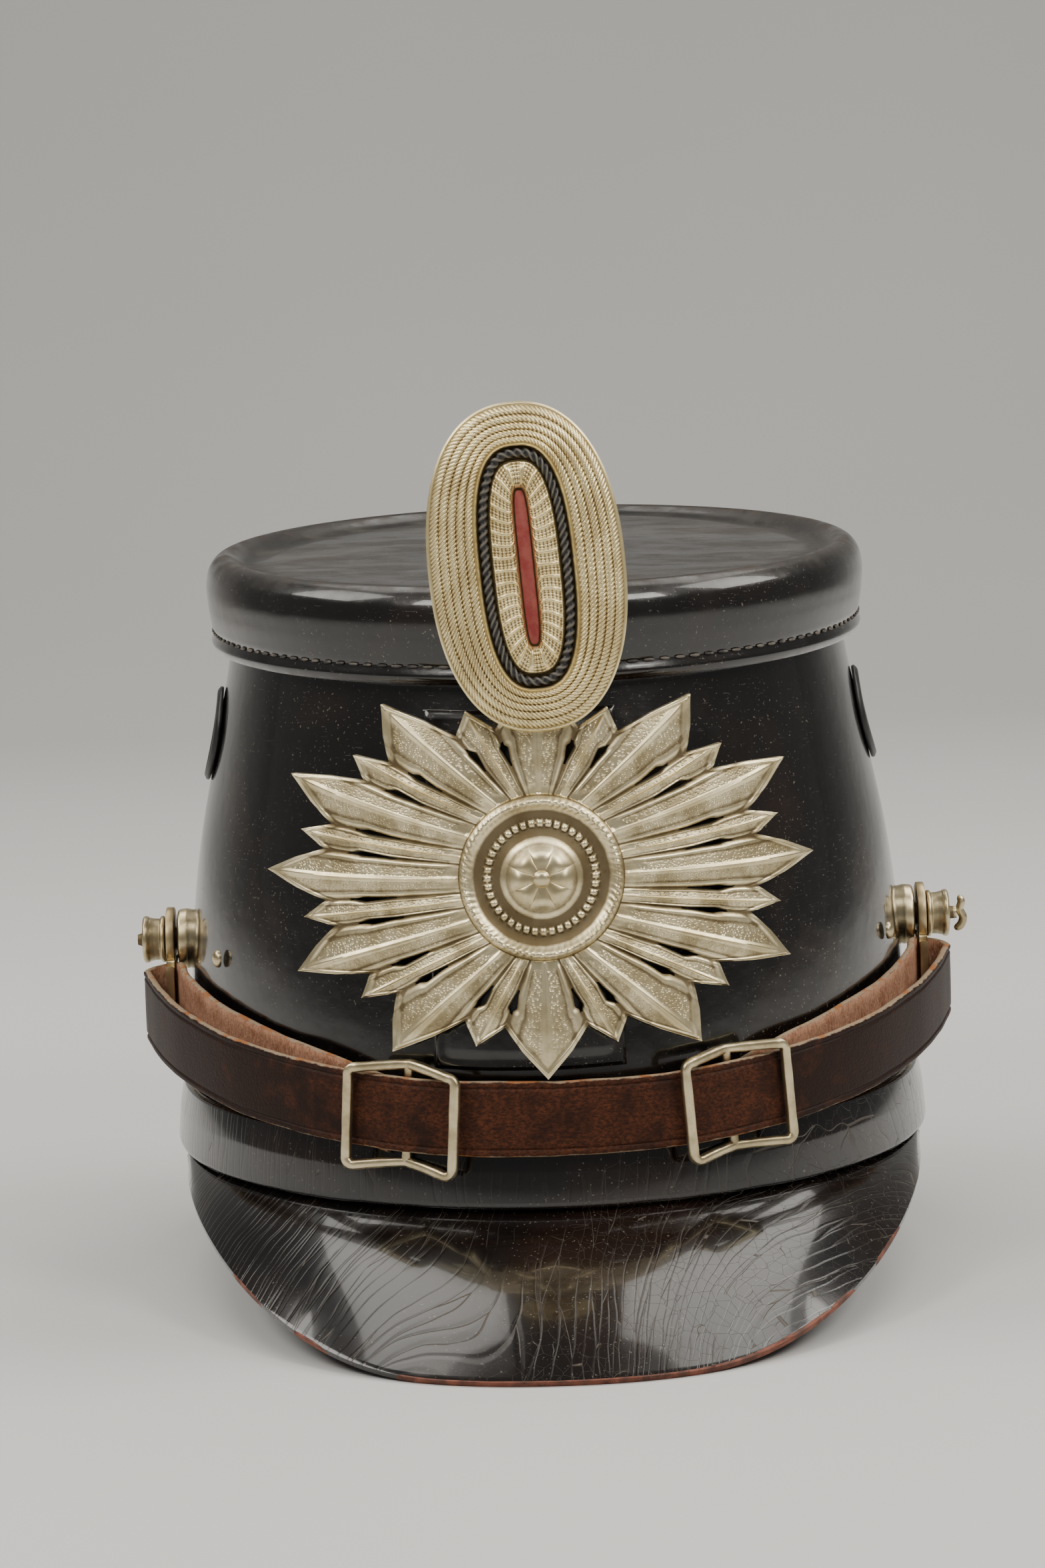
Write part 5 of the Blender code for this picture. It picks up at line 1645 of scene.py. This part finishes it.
# ---- side fittings
def rounded_line(points: Sequence[Row], radius: float, steps: int = 3) -> Array:
    """Round the inner corners of an open line, keeping its two ends."""
    points = np.asarray(points, dtype=float)
    groups = rounded_loop(points, radius, steps).reshape(len(points), steps + 1, -1)[1:-1]
    return np.concatenate([points[:1], groups.reshape(-1, points.shape[1]), points[-1:]])


def hollows(profile: Array, reach: float = 0.0016) -> Array:
    """How deep each row of a turned profile lies below its neighbours within a reach, from 0 to 1."""
    near = np.abs(profile[:, :1] - profile[None, :, 0]) < reach
    highest = np.where(near, profile[None, :, 1], 0.0).max(axis=1)
    return np.clip((highest - profile[:, 1]) / 0.0014, 0.0, 1.0)[:, None]


@dataclass
class SideFittings:
    """On one side: the stepped boss, its nut, the rivet, the strap's hook plate and the vent.

    The rows of turned parts are a distance along their axis and a radius, those of the window and the
    finial flat places. The screen is its radius, thickness, depth, hole radius and pitch.
    """

    finishes: Finishes
    side: str
    boss_height: float = 0.0790
    boss: Table = (
        (0.0866, 0.0070), (0.0886, 0.0073), (0.0893, 0.0075), (0.0910, 0.0073), (0.0915, 0.0070),
        (0.0917, 0.0060), (0.0917, 0.0026), (0.0946, 0.0026),
    )
    nut: Table = (
        (0.0949, 0.0050), (0.0950, 0.0058), (0.0958, 0.0058), (0.0961, 0.0051), (0.0975, 0.0052),
        (0.0988, 0.0055), (0.0991, 0.0058), (0.1000, 0.0059), (0.1004, 0.0053), (0.1005, 0.0020),
    )
    tips: Tuple[Table, ...] = (((0.1008, 0.0016), (0.1018, 0.0013)),
                                         ((0.1008, 0.0016), (0.1024, 0.0015)))
    softening: float = 0.00035
    finial: Table = (
        (0.1019, 0.0748), (0.1034, 0.0757), (0.1041, 0.0776), (0.1033, 0.0797), (0.1037, 0.0818),
        (0.1031, 0.0832),
    )
    finial_radius: float = 0.0011
    rivet_height: float = 0.0808
    rivet_forward: Tuple[float, float] = (0.0460, 0.0370)
    rivet_radius: float = 0.0021
    rivet_rise: float = 0.0011
    rivet_foot: float = 0.0003
    hook_middle: float = 0.0934
    hook_thickness: float = 0.0020
    hook_radius: float = 0.0079
    hook_hole: float = 0.0030
    hook_front: float = -0.0100
    hook_back: float = 0.0015
    hook_bottom: float = 0.0520
    hook_edge: float = 0.0003
    window_corner: float = 0.0008
    window: Table = ((-0.0075, 0.0554), (-0.0016, 0.0554), (-0.0016, 0.0747), (-0.0075, 0.0747))
    vent: Table = (
        (-0.0026, 0.0083), (0.0009, 0.0083), (0.0009, 0.0116), (0.0017, 0.0117), (0.0024, 0.0105),
        (0.0023, 0.0090), (0.0013, 0.0077), (-0.0026, 0.0077),
    )
    vent_sink: float = 0.0010
    vent_bend: float = 0.105
    screen: Row = (0.0074, 0.0006, -0.0015, 0.0015, 0.0044)

    def number(self) -> int:
        """0 on the left and 1 on the right."""
        return int(SIDES[self.side] > 0)

    def build_boss(self) -> None:
        """Turn the boss, the nut with its tip, and the hook-shaped finial that only the right nut has."""
        place = side_frame(self.side, self.boss_height)
        body = Body(f"boss_turned_{self.side}")
        profile = rounded_line(self.boss, self.softening)
        lathe(body, profile, place, recess=hollows(profile))
        body.make(self.finishes.nickel, f"boss_{self.side}")
        body = Body(f"nut_turned_{self.side}")
        profile = rounded_line((*self.nut, *self.tips[self.number()]), self.softening)
        lathe(body, profile, place, recess=hollows(profile))
        if self.side == "right":
            line = smooth_curve(self.finial, 48)
            path = np.stack([line[:, 0], np.zeros(len(line)), line[:, 1]], -1) + HAT_SHIFT
            share = np.linspace(0.0, 1.0, len(line))
            ends = np.sqrt(np.clip(1 - ((share - 0.5) / 0.5) ** 8, 0.05, 1.0))
            radius = self.finial_radius * ends * (1 - 0.12 * share)
            section = radius[:, None, None] * circle(around(20))
            body.tube(carry(path, section, np.array([0.0, 1.0, 0.0])), recess=0.2)
        body.make(self.finishes.nickel, f"boss_nut_{self.side}")

    def build_rivet(self) -> None:
        """Turn the low domed rivet in front of the boss."""
        forward = self.rivet_forward[self.number()]
        angle = forward_angle(self.side, forward, self.rivet_height)
        seat = round_crown(angle, self.rivet_height, 0.0005)
        bend = np.linspace(0.0, 0.93, 8) * math.pi / 2
        rise = self.rivet_foot + self.rivet_rise * np.sin(bend)
        dome = np.stack([rise, self.rivet_radius * np.cos(bend)], -1)
        body = Body(f"rivet_domed_{self.side}")
        profile = np.concatenate([[(0.0, self.rivet_radius)], dome])
        lathe(body, profile, pointing(seat, crown_normal(angle, self.rivet_height)), 32)
        body.make(self.finishes.nickel, f"boss_rivet_{self.side}")

    def build_hook(self) -> None:
        """Cut the hanging plate: a round eye, a straight tongue, a window for the strap, soft edges."""
        z = self.boss_height
        start = math.acos(self.hook_back / self.hook_radius) + math.radians(40)
        bend = np.linspace(-start / 2, math.pi + start / 2, 44)
        eye = self.hook_radius * circle(bend) + (0.0, z)
        outline = np.concatenate([[(self.hook_back, self.hook_bottom), (self.hook_back, z - 0.0095)], eye,
                                  [(self.hook_front, z - 0.0055), (self.hook_front, self.hook_bottom)]])
        hole = self.hook_hole * circle(around(40)) + (0.0, z)
        opening = rounded_loop(self.window, self.window_corner, 4)
        place = Matrix(((0, 0, 1, SIDES[self.side] * self.hook_middle), (1, 0, 0, HAT_SHIFT[1]),
                        (0, 1, 0, 0), (0, 0, 0, 1)))
        outline = outline[np.diff(distances(outline), prepend=-1.0) > 1e-5]
        mesh = pierced_plate(f"hook_{self.side}", (outline, hole, opening), self.hook_thickness,
                             self.hook_edge, place)
        place_mesh(mesh, f"hook_plate_{self.side}", self.finishes.brass, (f"strap_hook_{self.side}",))

    def vent_frame(self) -> Matrix:
        """The vent's frame: X out of the crown's surface, square to it in both directions."""
        angle = forward_angle(self.side, VENT_FORWARD, VENT_HEIGHT)
        seat, above, below = (round_crown(angle, VENT_HEIGHT + rise) for rise in (0.0, 0.008, -0.008))
        rise = unit(above - below)
        beside = unit(np.cross((0.0, 0.0, 1.0), crown_normal(angle, VENT_HEIGHT)))
        turn = Matrix((unit(np.cross(beside, rise)), beside, rise)).transposed().to_4x4()
        return Matrix.Translation(seat) @ turn

    def build_vent(self) -> None:
        """Turn the eyelet and cut its pierced screen."""
        place = self.vent_frame()
        body = Body(f"vent_eyelet_{self.side}")
        profile = rounded_loop(self.vent, 0.0004, 4)
        turn = around(72)[None]
        high, radius = profile[:, :1], profile[:, 1:]
        across, up = radius * np.cos(turn), radius * np.sin(turn)
        bent = high - self.vent_sink * step(high, 0.0, 0.0009) - across ** 2 / (2 * self.vent_bend)
        local = np.stack([bent, across, up], -1)
        body.ring(moved(local, place), wear=0.6 * step(high, 0.0018, 0.0023))
        body.make(self.finishes.black_metal, f"vent_ring_{self.side}")
        radius, thickness, depth, hole, pitch = self.screen
        disc = circle(around(56))
        outlines = [radius * disc]
        for row in (-1, 0, 1):
            count = 3 - abs(row)
            for k in range(count):
                middle = np.array([(k - (count - 1) / 2) * pitch, row * pitch * math.sqrt(3) / 2])
                outlines.append(middle + hole * disc[::3])
        turned = place @ Matrix(((0, 0, 1, depth), (1, 0, 0, 0), (0, 1, 0, 0), (0, 0, 0, 1)))
        mesh = pierced_plate(f"screen_{self.side}", outlines, thickness, 0.0001, turned)
        node = f"vent_screen_{self.side}"
        place_mesh(mesh, f"vent_pierced_{self.side}", self.finishes.black_metal, (node,))

    def build(self) -> None:
        """Build this side's fittings."""
        self.build_boss()
        self.build_rivet()
        self.build_hook()
        self.build_vent()


@dataclass
class Pocket:
    """The leather pocket on the front of the crown, bowed out in the middle to take the tongue."""

    finishes: Finishes
    left: float = -0.0270
    right: float = 0.0170
    bottom: float = 0.0620
    top: float = 0.1430
    thickness: float = 0.0016
    bulge: float = 0.0020
    gap: float = 0.0005
    soft_edge: float = 0.0010
    seam: Row = (0.0026, 0.0006, 0.00020)

    def build(self) -> None:
        """Bow a sheet over the crown; its four edges are rounded by drawing the front back to them."""
        share, rise = np.linspace(0.0, 1.0, 61)[None], np.linspace(0.0, 1.0, 81)[:, None]
        width, height = self.right - self.left, self.top - self.bottom
        x, z = self.left + width * share, self.bottom + height * rise
        oval = crown_oval(z[:, 0])
        y = -oval[:, 1:2] * np.sqrt(1 - (x / oval[:, 0:1]) ** 2)
        rim = np.minimum(np.minimum(share, 1 - share) * width, np.minimum(rise, 1 - rise) * height)
        soft = np.clip(rim / self.soft_edge, 0.0, 1.0)
        soft = np.sqrt(soft * (2 - soft))
        bow = self.bulge * step(np.minimum(share, 1 - share), 0.0, 0.33)
        inset, spread, press = self.seam
        front = (0.35 + 0.65 * soft) * self.thickness - press * hump(rim, inset, spread)
        sides = [y - self.gap - bow - depth for depth in (front, 0.0)]
        grids = [np.stack(np.broadcast_arrays(x, side, z), -1) + HAT_SHIFT for side in sides]
        body = Body("front_pocket")
        body.sheet(*grids, wear=0.10 * (1 - soft), dust=0.2)
        body.make(self.finishes.lacquer, "cockade_pocket")


# ---- the chin strap and its buckles
BUCKLES = {
    "left": {"angle": -20.7, "height": 0.0510, "tilt": 4.0, "rise": 0.0012},
    "right": {"angle": 25.4, "height": 0.0523, "tilt": 4.5, "rise": 0.0004},
}


def catmull(points: Array, pace: float) -> Array:
    """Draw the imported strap's own curve, uniform Catmull-Rom segments between points.

    Args:
        points: the points that it passes.
        pace: about how far apart the curve's points lie.

    Returns:
        The curve's points.
    """
    padded = np.concatenate([[2 * points[0] - points[1]], points, [2 * points[-1] - points[-2]]])
    curve = [points[:1]]
    for before, start, end, after in zip(padded, padded[1:], padded[2:], padded[3:]):
        count = max(1, round(float(np.linalg.norm(end - start)) / pace))
        t = (np.arange(count) + 1)[:, None] / count
        curve.append(0.5 * (2 * start + (end - before) * t
                            + (2 * before - 5 * start + 4 * end - after) * t ** 2
                            + (3 * start - before - 3 * end + after) * t ** 3))
    return np.concatenate(curve)


@dataclass
class ChinStrap:
    """One strip from buckle to buckle: back to each hook plate, round it, and across the front.

    The rows of its path are an angle in degrees, an offset from the crown and a height; the fold is the
    place of its middle across and along the hat, and its radius.
    """

    finishes: Finishes
    width: float = 0.0174
    thickness: float = 0.0019
    outer: Table = (
        (0.0, 0.0046, 0.0511), (12.0, 0.0055, 0.0515), (22.0, 0.0068, 0.0525),
        (35.0, 0.0072, 0.0544), (50.0, 0.0069, 0.0568), (65.0, 0.0072, 0.0597),
        (76.0, 0.0084, 0.0619), (84.0, 0.0099, 0.0634),
    )
    returning: Table = (
        (36.0, 0.0040, 0.0568), (45.0, 0.0022, 0.0589), (60.0, 0.0020, 0.0625),
        (75.0, 0.0019, 0.0652), (83.5, 0.0018, 0.0657),
    )
    end_offset: float = 0.0042
    end_angle: float = 2.0
    fold: Row = (0.0950, -0.0082, 0.0042)
    pace: float = 0.0011
    line_inset: float = 0.0017
    line_press: float = 0.00030
    line_width: float = 0.00030
    crowning: float = 0.00012
    edge_round: float = 0.00055
    rubbed_edge: float = 0.0011
    fold_steps: int = 14

    def line(self, rows: Array, side: str) -> Array:
        """The curve through rows of an angle in degrees, an offset and a height, on one side."""
        angle = SIDES[side] * np.radians(rows[:, 0])
        return catmull(round_crown(angle, rows[:, 2], rows[:, 1]), self.pace)

    def half(self, side: str) -> Array:
        """The middle line of one half, from the buckle's bar round the hook plate to the front.

        Args:
            side: left or right.

        Returns:
            World points.
        """
        buckle = BUCKLES[side]
        end = (abs(buckle["angle"]) + self.end_angle, self.end_offset, buckle["height"])
        inner = self.line(np.array([end, *self.returning]), side)
        outer = self.line(np.array(self.outer)[::-1], side)
        share = np.arange(1, self.fold_steps) / self.fold_steps
        across, along, radius = self.fold
        x = SIDES[side] * (across - radius * np.cos(math.pi * share))
        y = along + radius * np.sin(math.pi * share) + HAT_SHIFT[1]
        z = inner[-1, 2] + (outer[0, 2] - inner[-1, 2]) * share
        return np.concatenate([inner, np.stack([x, y, z], -1), outer])

    def section(self) -> Tuple[Array, Array, Array]:
        """The strip's section: rounded edges, and a pressed line near each edge of the grain side.

        Returns:
            Section points (through, up), and for each whether it is on the flesh side and on an edge.
        """
        half, depth, round_off = self.width / 2, self.thickness / 2, self.edge_round
        line = half - self.line_inset
        flat = np.unique(np.concatenate([np.linspace(-half + round_off, half - round_off, 19),
                                         line + np.linspace(-0.0007, 0.0007, 7),
                                         -line + np.linspace(-0.0007, 0.0007, 7)]))
        press = self.line_press * (hump(flat, line, self.line_width) + hump(flat, -line, self.line_width))
        crowned = self.crowning * (1 - (flat / half) ** 2)
        grain = np.stack([depth - self.crowning - press + crowned, flat], -1)
        bend = np.linspace(0.0, math.pi, 9)[1:-1]
        top = circle(bend) * (depth - self.crowning, round_off) + (0.0, half - round_off)
        back = np.linspace(half - round_off, -half + round_off, 13)
        flesh = np.stack([np.full(len(back), -depth), back], -1)
        points = np.concatenate([grain, top, flesh, -top])
        side = step(-points[:, 0], depth * 0.5, depth * 0.95)
        inset = np.abs(points[:, 1]) - (half - self.rubbed_edge)
        edge = np.clip(inset / self.rubbed_edge, 0.0, 1.0)
        return points, side, edge

    def build(self) -> None:
        """Carry the section along the whole line, with a slightly uneven width."""
        left, right = self.half("left"), self.half("right")
        path = np.concatenate([left, right[::-1][1:]])
        points, flesh, edge = self.section()
        length = distances(path)
        turn = 2 * math.pi * length / length[-1]
        scale = np.ones((len(path), 1, 2))
        scale[:, 0, 1] += ripple(turn, ((9, 0.006), (23, 0.005), (47, 0.004)), 31)
        grid = carry(path, points[None] * scale, np.array([0.0, 0.0, 1.0]))
        front = np.abs(path[:, 0]) * (path[:, 1] < 0.0)
        worn = np.where(path[:, 1] < 0.0, step(front, 0.075, 0.030), 0.0)[:, None]
        body = Body("chin_strap_leather")
        body.tube(grid, flesh=flesh, edge=edge, worn=worn)
        body.make(self.finishes.strap, "chin_strap", sharp=60.0)


@dataclass
class Buckle:
    """A sliding buckle: a kinked frame of squarish bar, and a middle bar behind the strap."""

    finishes: Finishes
    side: str
    bar: float = 0.00115
    half_width: float = 0.0134
    half_height: float = 0.0114
    corner: float = 0.0018
    strap_middle: float = 0.0068
    frame_out: float = 0.0020
    bar_offset: float = 0.0044
    bar_share: float = 0.88
    squareness: float = 3.0

    def place(self, s: Array, v: Array) -> Array:
        """Places on the frame from places along and across the strap.

        The side bars lie in front of the strap; towards the middle the frame bends back to the middle
        bar by 1 - |s / half_width|^1.2.

        Args:
            s: distance along the strap.
            v: distance across it.

        Returns:
            World points.
        """
        shape = BUCKLES[self.side]
        angle = math.radians(shape["angle"])
        normal = crown_normal(angle, shape["height"])
        across = unit(np.cross((0.0, 0.0, 1.0), normal))
        seat = round_crown(angle, shape["height"])
        tilt = SIDES[self.side] * math.radians(shape["tilt"])
        bent = 1 - np.minimum(1.0, np.abs(s) / (self.half_width - self.corner)) ** 1.2
        out = (self.strap_middle + self.frame_out) * (1 - bent) + self.bar_offset * bent
        level = s * math.cos(tilt) - v * math.sin(tilt)
        height = s * math.sin(tilt) + v * math.cos(tilt) + shape["rise"] * bent
        axes = np.stack([across, normal, (0.0, 0.0, 1.0)])
        return seat + np.stack([level, out, height], -1) @ axes

    def build(self) -> None:
        """Carry a rounded square round the frame, and a rounder one up the middle bar."""
        normal = crown_normal(math.radians(BUCKLES[self.side]["angle"]), BUCKLES[self.side]["height"])
        turn = around(16)
        square = np.sign(circle(turn)) * np.abs(circle(turn)) ** (2 / self.squareness)
        side, top = self.half_width - self.corner, self.half_height - self.corner
        bend = np.linspace(0.0, math.pi / 2, 9) + np.arange(4)[:, None] * math.pi / 2
        corners = np.array([(side, top), (-side, top), (-side, -top), (side, -top)])
        arcs = corners[:, None] + self.corner * circle(bend)
        line = []
        for k in range(4):
            straight = np.linspace(arcs[k, -1], arcs[(k + 1) % 4, 0], (41, 21)[k % 2])
            line += [arcs[k], straight[1:-1]]
        line = np.concatenate(line)
        path = self.place(line[:, 0], line[:, 1])
        shares = np.arange(len(path)) / len(path) * 2 * math.pi
        uneven = 1 + ripple(shares, ((5, 0.03), (11, 0.025), (23, 0.02)), 40 + SIDES[self.side])
        section = square[None] * (self.bar * uneven)[:, None, None]
        body = Body(f"buckle_frame_{self.side}")
        grid = carry(path, section, normal, closed=True)
        inside = np.clip(0.5 - 0.5 * np.sin(turn), 0.0, 1.0)
        body.ring(grid, recess=0.45 * inside)
        v = np.linspace(-self.half_height, self.half_height, 31)
        path = self.place(np.zeros(len(v)), v)
        swell = 1 + 0.22 * np.maximum(hump(v, self.half_height, 0.0016), hump(v, -self.half_height, 0.0016))
        section = square[None] * (self.bar * self.bar_share * swell)[:, None, None]
        body.tube(carry(path, section, normal), recess=0.35)
        body.make(self.finishes.nickel, f"buckle_{self.side}")


# ---- studio
@dataclass
class Studio:
    """A pale floor and backdrop, soft lights and the camera at the photograph's angle."""

    lens: float = 107.02
    pitch: float = 6.9
    roll: float = 1.95
    place: Row = (-0.00462, -1.1405, 0.254)
    warm: Colour = (1.0, 0.965, 0.90)
    floor_ends: Tuple[float, float] = (-3.0, 1.2)
    floor_bend: float = 0.8
    wall_top: float = 3.0
    half_width: float = 4.0

    def backdrop(self) -> None:
        """A floor that curves up into a wall."""
        front, back = self.floor_ends
        bend = np.linspace(0.1, math.pi / 2, 12)
        arc = (back, self.floor_bend) + self.floor_bend * np.stack([np.sin(bend), -np.cos(bend)], -1)
        line = np.array([(front, 0.0), (back, 0.0), *arc, (back + self.floor_bend, self.wall_top)])
        x = np.array([-self.half_width, self.half_width])
        grid = np.stack(np.broadcast_arrays(x, line[:, :1], line[:, 1:]), -1)
        mesh = bpy.data.meshes.new("floor")
        mesh.from_pydata(grid.reshape(-1, 3).tolist(), [], grid_faces(*grid.shape[:2]).tolist())
        mesh.shade_smooth()
        g = Graph("pale_floor", Specular_IOR_Level=0.2)
        tone = g.noise(g.place(), 3.0, 2.0)
        mesh.materials.append(g.done(g.mix(tone, (0.60, 0.60, 0.595), (0.66, 0.66, 0.655)), 0.75))
        floor = bpy.data.objects.new("floor", mesh)
        bpy.context.scene.collection.objects.link(floor)

    def light(self, name: str, place: Row, aim: Optional[Row], size: Tuple[float, float],
              power: float) -> None:
        """Add one soft box.

        Args:
            name: the light's name.
            place: where it stands.
            aim: what it faces, or nothing where it hangs level and faces down.
            size: its width and height.
            power: its power in watts.
        """
        lamp = bpy.data.lights.new(name, "AREA")
        lamp.shape = "RECTANGLE"
        lamp.size, lamp.size_y = size
        lamp.energy = power
        lamp.color = self.warm
        holder = bpy.data.objects.new(name, lamp)
        holder.matrix_world = Matrix.Translation(place)
        if aim is not None:
            direction = Vector(aim) - Vector(place)
            holder.matrix_world @= direction.to_track_quat("-Z", "Y").to_matrix().to_4x4()
        bpy.context.scene.collection.objects.link(holder)

    def camera(self) -> None:
        """The camera, fitted to the photograph's size of 1568 by 2352."""
        data = bpy.data.cameras.new("camera")
        data.lens = self.lens
        data.sensor_width = 36.0
        data.dof.use_dof = False
        holder = bpy.data.objects.new("camera", data)
        holder.matrix_world = (Matrix.Translation(self.place)
                               @ Matrix.Rotation(math.pi / 2 - math.radians(self.pitch), 4, "X")
                               @ Matrix.Rotation(-math.radians(self.roll), 4, "Z"))
        bpy.context.scene.collection.objects.link(holder)
        bpy.context.scene.camera = holder

    def build(self) -> None:
        """Set up backdrop, lights, sky and camera."""
        self.backdrop()
        hat, crest = (0.0, 0.0, 0.12), (0.0, 0.0, 0.16)
        self.light("box_left", (-0.41, 0.50, 1.22), None, (0.50, 0.92), 5.0)
        self.light("box_right", (0.48, 0.50, 1.22), None, (0.56, 0.92), 5.8)
        self.light("rim_left", (-1.02, 0.02, 1.00), crest, (0.62, 0.60), 7.0)
        self.light("rim_right", (1.02, 0.02, 1.00), crest, (0.62, 0.60), 8.0)
        self.light("key_left", (-0.70, -0.80, 0.95), hat, (0.34, 0.44), 6.0)
        self.light("key_right", (0.72, -0.76, 0.92), hat, (0.34, 0.44), 6.0)
        self.light("fill_front", (0.0, -0.70, 1.20), hat, (0.95, 0.35), 3.5)
        world = bpy.data.worlds.new("studio")
        world.use_nodes = True
        sky = world.node_tree.nodes["Background"].inputs
        sky["Color"].default_value, sky["Strength"].default_value = (0.80, 0.79, 0.77, 1.0), 0.20
        bpy.context.scene.world = world
        self.camera()


def main() -> None:
    """Build every piece in order."""
    logging.basicConfig(level=logging.INFO, format="%(name)s %(message)s")
    finishes = Finishes()
    Crown(finishes).build()
    Band(finishes).build()
    front_visor(finishes).build()
    rear_visor(finishes).build()
    Pocket(finishes).build()
    FrontPlate(finishes).build()
    Cockade(finishes).build()
    for side in SIDES:
        SideFittings(finishes, side).build()
        Buckle(finishes, side).build()
    ChinStrap(finishes).build()
    Studio().build()


if __name__ == "__main__":
    main()
